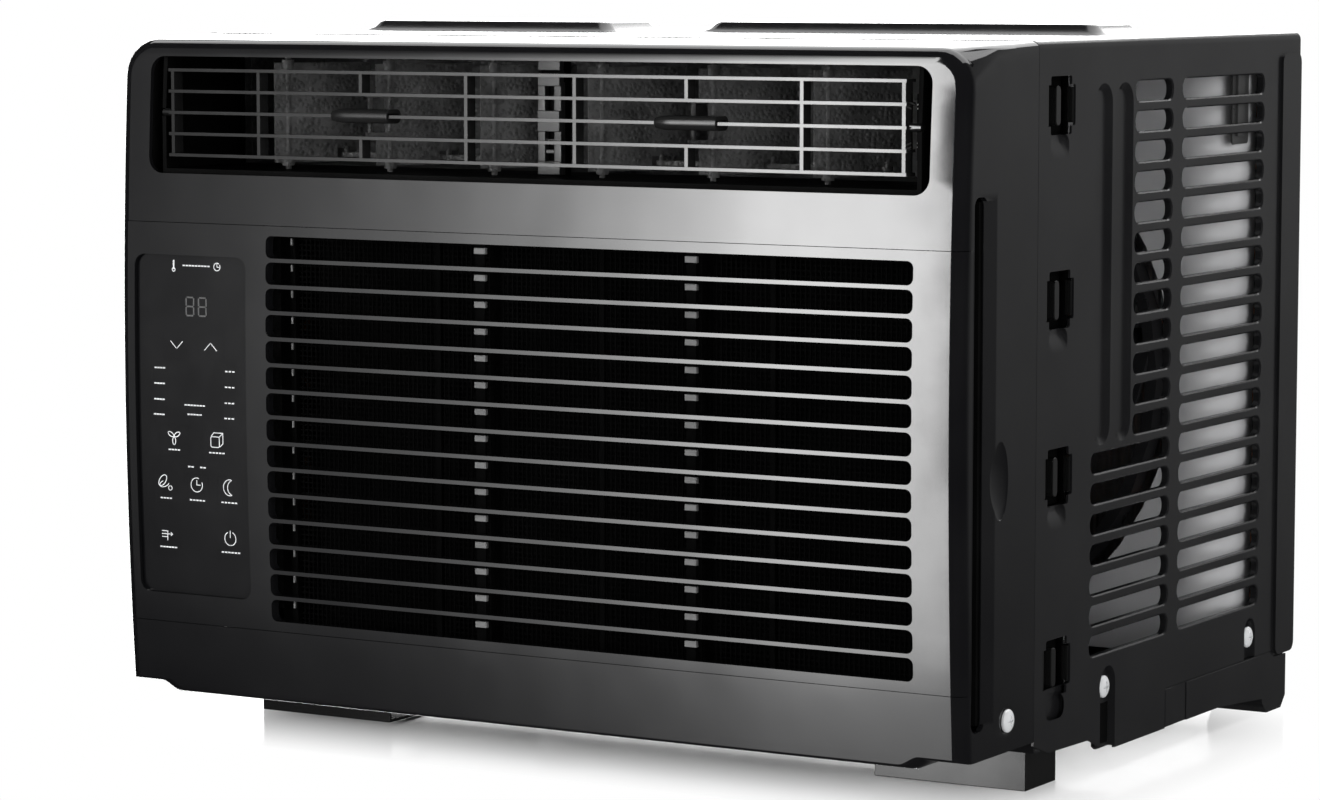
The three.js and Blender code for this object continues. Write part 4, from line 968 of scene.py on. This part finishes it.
def make_grips():
    """Sleeves on the louver's middle blade, each with a two-tined fork that turns the vanes."""
    back = GRIP["front"] + GRIP["depth"]
    for side, name in ((-1, "left"), (1, "right")):
        x = side * GRIP["x"]
        z = GRIP["z"]
        rings = []
        for k in range(15):
            share = k / 14
            along = x + GRIP["length"] * (share - 0.5)
            nose = min(1.0, 0.72 + 0.28 * math.sin(min(share / 0.2, 1) * math.pi / 2))
            height = GRIP["height"] * nose
            front = back - GRIP["depth"] * (0.72 + 0.28 * nose)
            outline = rounded(front, z - height / 2, back, z + height / 2, height * 0.49, 6)
            rings.append([(along, y, h) for y, h in outline])
        bm = bmesh.new()
        add_loft(bm, rings)
        grip = mesh_object(f"grip_sleeve_{name}", bm)
        middle = FRONT + BLADE["behind"]
        carve(grip, box_tool((x - 30, middle - BLADE["half_y"], z - BLADE["half_z"]),
                             (x + 30, middle + BLADE["half_y"], z + BLADE["half_z"])))
        fork = bmesh.new()
        for hand in (1, -1):
            near = x + FORK["pin"] + hand * FORK["inner"]
            far = near + hand * FORK["thick"]
            outline = [(near, back - 1), (far, back - 1), (far, FORK["tip"]), (near, FORK["tip"])]
            add_prism(fork, "z", outline, z - FORK["half"], z + FORK["half"])
        carve(grip, fork, "UNION")
        soften(grip, 0.25, 2, 45)
        finish_piece(grip, f"grip_{name}", GRIP_GLOSS, "louver_plastic", f"louver_grip_{name}")


def make_mouth_cheeks():
    """Dark walls between the bezel's discharge opening and the duct's sides."""
    bm = bmesh.new()
    near, far = MOUTH["half"] + 0.3, MOUTH["half"] + 1.5
    duct = DUCT["half"] + 2.6
    outline = [(near, FRONT + 6.5), (far, FRONT + 6.5), (far, FRONT + 21.5), (duct, FRONT + 21.5),
               (duct, FRONT + 20), (near, FRONT + 20)]
    for side in (1, -1):
        add_prism(bm, "z", [(side * x, y) for x, y in outline], MOUTH["low"] - 1, MOUTH["high"] + 2)
    add_piece("mouth_cheeks", bm, "chassis", BLACK_AND_PAINTED_SHADE, "inner_plastic", 0.2)


def make_centre_column():
    """The post in the middle of the discharge opening, with its guide slots."""
    bm = bmesh.new()
    y0, y1 = FRONT + 30.5, FRONT + 34.2
    for x0, x1 in ((-6.6, -2.4), (2.4, 6.6)):
        add_box(bm, (x0, y0, 287), (x1, y1, 331))
    for z0, z1, proud in ((287, 293.5, 0.8), (307.5, 317.5, 1.0), (329, 334, 0.8), (336.5, 341.8, 0.4)):
        add_box(bm, (-6.2, y0 - proud, z0), (6.2, y1, z1))
    for z0, z1 in ((297, 299), (302, 304)):
        add_box(bm, (-6.6, y0 + 0.6, z0), (6.6, y1, z1))
    add_piece("column_face", bm, "chassis", COLUMN, "inner_plastic", 0.35)


SIGN = {"x": 206.6, "y": FRONT + 12.5, "half": 1.5}


def make_airflow_marks():
    """Three small signs beside the louver, blow up, level and down, on a tab of the duct's side."""
    x, y, half = SIGN["x"], SIGN["y"], SIGN["half"]
    tab = box_tool((x - half - 0.2, y, 299), (DUCT["half"] - 0.3, y + 1.2, 329))
    add_piece("sign_tab", tab, "chassis", BLACK_AND_PAINTED_SHADE, "inner_plastic", 0.2)
    bm = bmesh.new()
    for rise in (0.8, -0.8):
        level = 314.3 + rise
        add_prism(bm, "y", rectangle(x - half, level - 0.4, x + half, level + 0.4), y - 0.08, y + 0.05)
    for middle, turn in ((323.6, 1), (305.5, -1)):
        for shift in (-0.9, 0.9):
            low = middle + shift - 0.5 * turn
            high = middle + shift + 0.7 * turn
            outline = [(x - half, low - 0.32), (x + half, high - 0.32), (x + half, high + 0.32),
                       (x - half, low + 0.32)]
            add_prism(bm, "y", outline, y - 0.08, y + 0.05)
    add_piece("airflow_marks", bm, "chassis", SIGN_WHITE, "inner_plastic", 0)


# ---------- screws ----------
SCREW_SINK = {"bezel": 0, "cabinet_front": 1.6, "cabinet_rear": 1.6}


def make_screws():
    for place, y in SCREW_Y.items():
        for side, side_name in ((1, "right"), (-1, "left")):
            bm = bmesh.new()
            seat = HALF - SCREW_SINK[place]
            profile = [(0, seat - 6), (1.9, seat - 6), (2.0, seat - 0.3), (5.3, seat - 0.3),
                       (5.4, seat + 0.5)]
            for k in range(1, 6):
                turn = math.radians(90 * k / 5)
                profile.append((5.4 * math.cos(turn) if k < 5 else 0, seat + 0.5 + 1.9 * math.sin(turn)))
            add_turned(bm, "x", (y, SCREW_HEIGHT), [(r, side * d) for r, d in profile], 32)
            screw = mesh_object(f"screw_{place}_{side_name}", bm)
            cross = bmesh.new()
            for half_y, half_z in ((0.55, 2.6), (2.6, 0.55)):
                x0, x1 = sorted((side * (seat + 1.0), side * (seat + 4)))
                add_box(cross, (x0, y - half_y, SCREW_HEIGHT - half_z),
                        (x1, y + half_y, SCREW_HEIGHT + half_z))
            carve(screw, cross)
            soften(screw, 0.12, 2, 40)
            finish_piece(screw, "chassis", BRIGHT, "zinc_steel", f"{place}_screw_{side_name}")


# ---------- lower side ----------
SKIRT_PLATES = ((31.4, 42, 12.5), (57, 150, 12.3))


def make_skirt_plates():
    """The base pan's outer skirt, with a sunk column between its two plates."""
    bm = bmesh.new()
    high = RAIL["low"] + 2
    for y0, y1, low in SKIRT_PLATES:
        outline = [(y0, low), (min(y1, 100), low), (y1, low - max(0, y1 - 100) * 0.07), (y1, high),
                   (y0, high)]
        add_side_prisms(bm, outline, 0.5, 0.1)
    add_piece("skirt_plates", bm, "chassis", PAINT, "painted_steel", 0.2)


# each ear of the shroud: its outline, and how deep its inner and outer faces lie behind the side wall
EARS = ((rounded(123.5, 296, 144, 339, 2, 3), 8.6, 7.4), (rounded(127, 300, 136, 339, 1, 3), 8.6, 6.0))


def make_shroud_clips():
    """Fixing ears on the shroud's top corners, just inside the cabinet's slots."""
    bm = bmesh.new()
    for outline, inner, outer in EARS:
        add_side_prisms(bm, outline, inner, -outer)
    add_piece("shroud_clips", bm, "chassis", EAR, "shroud_plastic", 0.3)


def make_skirt_shade_sheets():
    """Black sheets in the upright slot of the base pan's skirt and in the channel at the front screw: painted
    shade where these recesses look dark.
    """
    bm = bmesh.new()
    add_side_boxes(bm, 3.1, 42.4, 13, 55.5, 31, -1.4)
    add_side_boxes(bm, 3.3, -42.5, 15, -30.5, 34.5, -2.7)
    add_piece("skirt_painted_shade", bm, "chassis", BLACK_AND_PAINTED_SHADE, "rubber", 0.2)


make_bezel()
make_intake()
make_intake_ribs()
make_cabinet()
make_snap_hooks()
make_snap_wells()
make_film()
make_prints()
make_filter()
make_lit_rib_tops()
make_filter_seal()
make_mouth_cheeks()
make_grips()
make_centre_column()
make_airflow_marks()
make_screws()
make_skirt_plates()
make_shroud_clips()
make_skirt_shade_sheets()

# ---------- CAD nodes that keep their shape ----------
SLOT_LOOK = {
    "bezel_plastic": GLOSS,
    "louver_plastic": SATIN,
    "vane_plastic": VANE,
    "control_glass": GLASS,
    "circuit_board": BOARD,
    "inner_plastic": INNER,
    "fan_plastic": SATIN,
    "foam_housing": FOAM,
    "painted_steel": PAINT,
    "compressor_steel": ENAMEL,
    "galvanised_steel": ZINC,
    "fin_aluminium": FINS,
    "copper": COPPER,
    "shroud_plastic": GREY,
    "rubber": RUBBER,
    "zinc_steel": BRIGHT,
}
NODE_LOOK = {
    # the evaporator's fins take the near-black painted shade instead of bare fins
    "evaporator_fins": FINS_IN_PAINTED_SHADE,
    "front_foot_right": FOOT,
    "front_foot_left": FOOT,
    "discharge_duct": BLACK_AND_PAINTED_SHADE,
    "horizontal_louver": LOUVER_GLOSS,
}
node_slots = {row["node"]: row["material_slot"] for row in frame["record"]["subparts"]}
for node, piece in NODES.items():
    if piece.hide_render:
        continue
    for index in range(max(1, len(piece.material_slots))):
        if not piece.material_slots:
            piece.data.materials.append(SLOT_LOOK[node_slots[node]])
        piece.material_slots[index].material = NODE_LOOK.get(node, SLOT_LOOK[node_slots[node]])
    weld = piece.modifiers.new("weld", "WELD")
    weld.merge_threshold = 0.02 * MM
    flat = piece.modifiers.new("flat", "DECIMATE")
    flat.decimate_type = "DISSOLVE"
    flat.angle_limit = math.radians(1.5)
    edge = piece.modifiers.new("edge", "BEVEL")
    edge.width = 0.35 * MM
    edge.segments = 2
    edge.limit_method = "ANGLE"
    edge.angle_limit = math.radians(50)
    shade = piece.modifiers.new("shade", "WEIGHTED_NORMAL")
    shade.weight = 80

# ---------- studio ----------
CAMERA_AT = Vector((1074.26, -1873.74, 384.14)) * MM
AZIMUTH = math.radians(30.64)
ELEVATION = math.radians(5.788)
LENS = 115.86


def make_camera():
    data = bpy.data.cameras.new("camera")
    data.lens = LENS
    data.sensor_width = 36
    data.clip_start = 0.05
    data.clip_end = 200
    camera = bpy.data.objects.new("camera", data)
    level = math.cos(ELEVATION)
    back = Vector((math.sin(AZIMUTH) * level, -math.cos(AZIMUTH) * level, math.sin(ELEVATION)))
    camera.location = CAMERA_AT
    camera.rotation_mode = "QUATERNION"
    camera.rotation_quaternion = (-back).to_track_quat("-Z", "Y")
    bpy.context.scene.collection.objects.link(camera)
    bpy.context.scene.camera = camera


# the floor turns white over this distance round a patch inset from the cabinet's sides and back
FLOOR_FADE = (0.0, 0.1)
SHADE_INSET = {"x": 50, "y": 110}
FLOOR_REACH = 40000


def make_floor():
    """A pale, slightly glossy sheet, shaded under the unit, that turns into a white sweep round it."""
    material, tree, shader = start_material("floor_white")
    vector = coordinates(tree)
    connect(tree, shader, {
        "Base Color": blend_colours(tree, noise_of(tree, vector, 3, 3), 0.86, 0.9),
        "Roughness": remap(tree, noise_of(tree, vector, 8, 4), 0.12, 0.16),
        "Specular IOR Level": 0.5,
    })
    away = vector
    shaded = ((HALF - SHADE_INSET["x"]) * MM, (REAR - SHADE_INSET["y"]) * MM, 0)
    for operation, value in (("ABSOLUTE", (0, 0, 0)), ("SUBTRACT", shaded), ("MAXIMUM", (0, 0, 0))):
        step = add_node(tree, "VectorMath", {0: away, 1: value})
        step.operation = operation
        away = step.outputs["Vector"]
    length = add_node(tree, "VectorMath", {0: away})
    length.operation = "LENGTH"
    far = remap(tree, length.outputs["Value"], 0, 1, *FLOOR_FADE)
    white = add_node(tree, "Emission", {"Strength": 1.0})
    mix = add_node(tree, "MixShader", {"Fac": far, 1: shader.outputs["BSDF"], 2: white.outputs["Emission"]})
    connect(tree, tree.nodes["Material Output"], {"Surface": mix.outputs["Shader"]})
    bm = bmesh.new()
    outline = rectangle(-FLOOR_REACH, -FLOOR_REACH, FLOOR_REACH, FLOOR_REACH)
    bm.faces.new([bm.verts.new((x, y, 0)) for x, y in outline])
    floor = mesh_object("floor", bm)
    floor.data.materials.append(material)
    floor.visible_glossy = False


def glowing_sheet(name, corners, material):
    """A soft light: a glowing sheet that lights the scene and shows in gloss, but not in the picture."""
    bm = bmesh.new()
    bm.faces.new([bm.verts.new(p) for p in corners])
    sheet = mesh_object(name, bm)
    sheet.data.materials.append(material)
    sheet.visible_camera = False
    sheet.visible_shadow = False
    return sheet


def start_glow(name, strength):
    material = bpy.data.materials.new(name)
    material.use_nodes = True
    tree = material.node_tree
    tree.nodes.clear()
    glow = add_node(tree, "Emission", {"Strength": strength})
    add_node(tree, "OutputMaterial", {"Surface": glow.outputs["Emission"]})
    return material, tree, glow


def combine(tree, operation, a, b):
    """One arithmetic step; each side is a number or the output of another node."""
    node = add_node(tree, "Math", {0: a, 1: b})
    node.operation = operation
    return node.outputs[0]


# the large graded softbox in front and to the left: bright at its right edge, fading leftwards and downwards
SOFTBOX = {"y": -2.3, "left": -2.9, "right": -0.815, "low": -0.9, "high": 2.6, "dim_at": -1.85,
           "bright_at": -1.04}
SOFTBOX_DIM = 0.42
SOFTBOX_RANGE = 42
SOFTBOX_ROWS = ((-0.9, 0.08), (-0.75, 0.14), (-0.62, 0.2), (-0.5, 0.5), (-0.35, 0.65), (0.25, 1.0),
                (0.9, 0.8), (2.6, 0.6))


def make_softbox():
    material, tree, glow = start_glow("front_softbox", 1)
    place = add_node(tree, "SeparateXYZ", {"Vector": coordinates(tree)}).outputs
    across = remap(tree, place["X"], 0, 1, SOFTBOX["dim_at"], SOFTBOX["bright_at"])
    level = combine(tree, "MULTIPLY", SOFTBOX_DIM, combine(tree, "POWER", SOFTBOX_RANGE, across))
    up = remap(tree, place["Z"], 0, 1, SOFTBOX["low"], SOFTBOX["high"])
    rows = add_node(tree, "ValToRGB", {"Fac": up})
    ramp = rows.color_ramp.elements
    while len(ramp) < len(SOFTBOX_ROWS):
        ramp.new(0.5)
    for stop, (height, share) in zip(ramp, SOFTBOX_ROWS):
        stop.position = (height - SOFTBOX["low"]) / (SOFTBOX["high"] - SOFTBOX["low"])
        stop.color = (share, share, share, 1)
    connect(tree, glow, {"Strength": combine(tree, "MULTIPLY", level, rows.outputs["Color"])})
    x0, x1, z0, z1, y = (SOFTBOX[key] / MM for key in ("left", "right", "low", "high", "y"))
    glowing_sheet("front_softbox", [(x0, y, z0), (x1, y, z0), (x1, y, z1), (x0, y, z1)], material)


def facing_sheet(name, centre, width, height, target, strength):
    """A plain rectangular light that faces a point."""
    material, tree, glow = start_glow(name, strength)
    out = (Vector(target) - Vector(centre)).normalized()
    side = out.cross(Vector((0, 0, 1)))
    side = side.normalized() if side.length > 1e-3 else Vector((1, 0, 0))
    up = side.cross(out).normalized()
    middle = Vector(centre)
    signs = ((-1, -1), (1, -1), (1, 1), (-1, 1))
    corners = [middle + side * a * width / 2 + up * b * height / 2 for a, b in signs]
    return glowing_sheet(name, corners, material)


# each plain light: its centre, width, height, the point it faces and its strength
LIGHTS = {
    "overhead_softbox": ((-400, 2170, 2400), 3600, 4600, (-400, 2180, 0), 3.2),
    "rear_left_softbox": ((-1600, 2700, 500), 2800, 2800, (0, 0, 300), 6),
    "right_softbox": ((2700, -1500, 700), 1600, 1400, (235, 60, 200), 7),
}
UNSEEN_IN_GLOSS = ("right_softbox",)

# strength of the room in soft light, and in gloss: its rear half against its front, and its height
ROOM_FILL = 0.72
ROOM_REAR = (0.032, 0.8, 0.3, 0.8)
ROOM_HEIGHT = (0.07, 0.42, -0.18, 0.02)


def make_room():
    """White where the camera sees it, bright for soft light, and a dim grey room in the gloss."""
    world = bpy.data.worlds.new("studio")
    bpy.context.scene.world = world
    world.use_nodes = True
    tree = world.node_tree
    tree.nodes.clear()
    place = add_node(tree, "SeparateXYZ", {"Vector": coordinates(tree, "Generated")}).outputs
    gloss = combine(tree, "MULTIPLY", remap(tree, place["Y"], *ROOM_REAR),
                    remap(tree, place["Z"], *ROOM_HEIGHT))
    rays = add_node(tree, "LightPath", {}).outputs
    soft = combine(tree, "MULTIPLY", rays["Is Diffuse Ray"], ROOM_FILL)
    not_soft = combine(tree, "SUBTRACT", 1.0, rays["Is Diffuse Ray"])
    hidden = combine(tree, "ADD", soft, combine(tree, "MULTIPLY", gloss, not_soft))
    not_seen = combine(tree, "SUBTRACT", 1.0, rays["Is Camera Ray"])
    total = combine(tree, "ADD", rays["Is Camera Ray"], combine(tree, "MULTIPLY", hidden, not_seen))
    sky = add_node(tree, "Background", {"Color": (1, 1, 1, 1), "Strength": total})
    add_node(tree, "OutputWorld", {"Surface": sky.outputs["Background"]})


make_camera()
make_floor()
make_softbox()
for name, numbers in LIGHTS.items():
    sheet = facing_sheet(name, *numbers)
    sheet.visible_glossy = name not in UNSEEN_IN_GLOSS
make_room()
bpy.context.scene.view_settings.view_transform = "Standard"
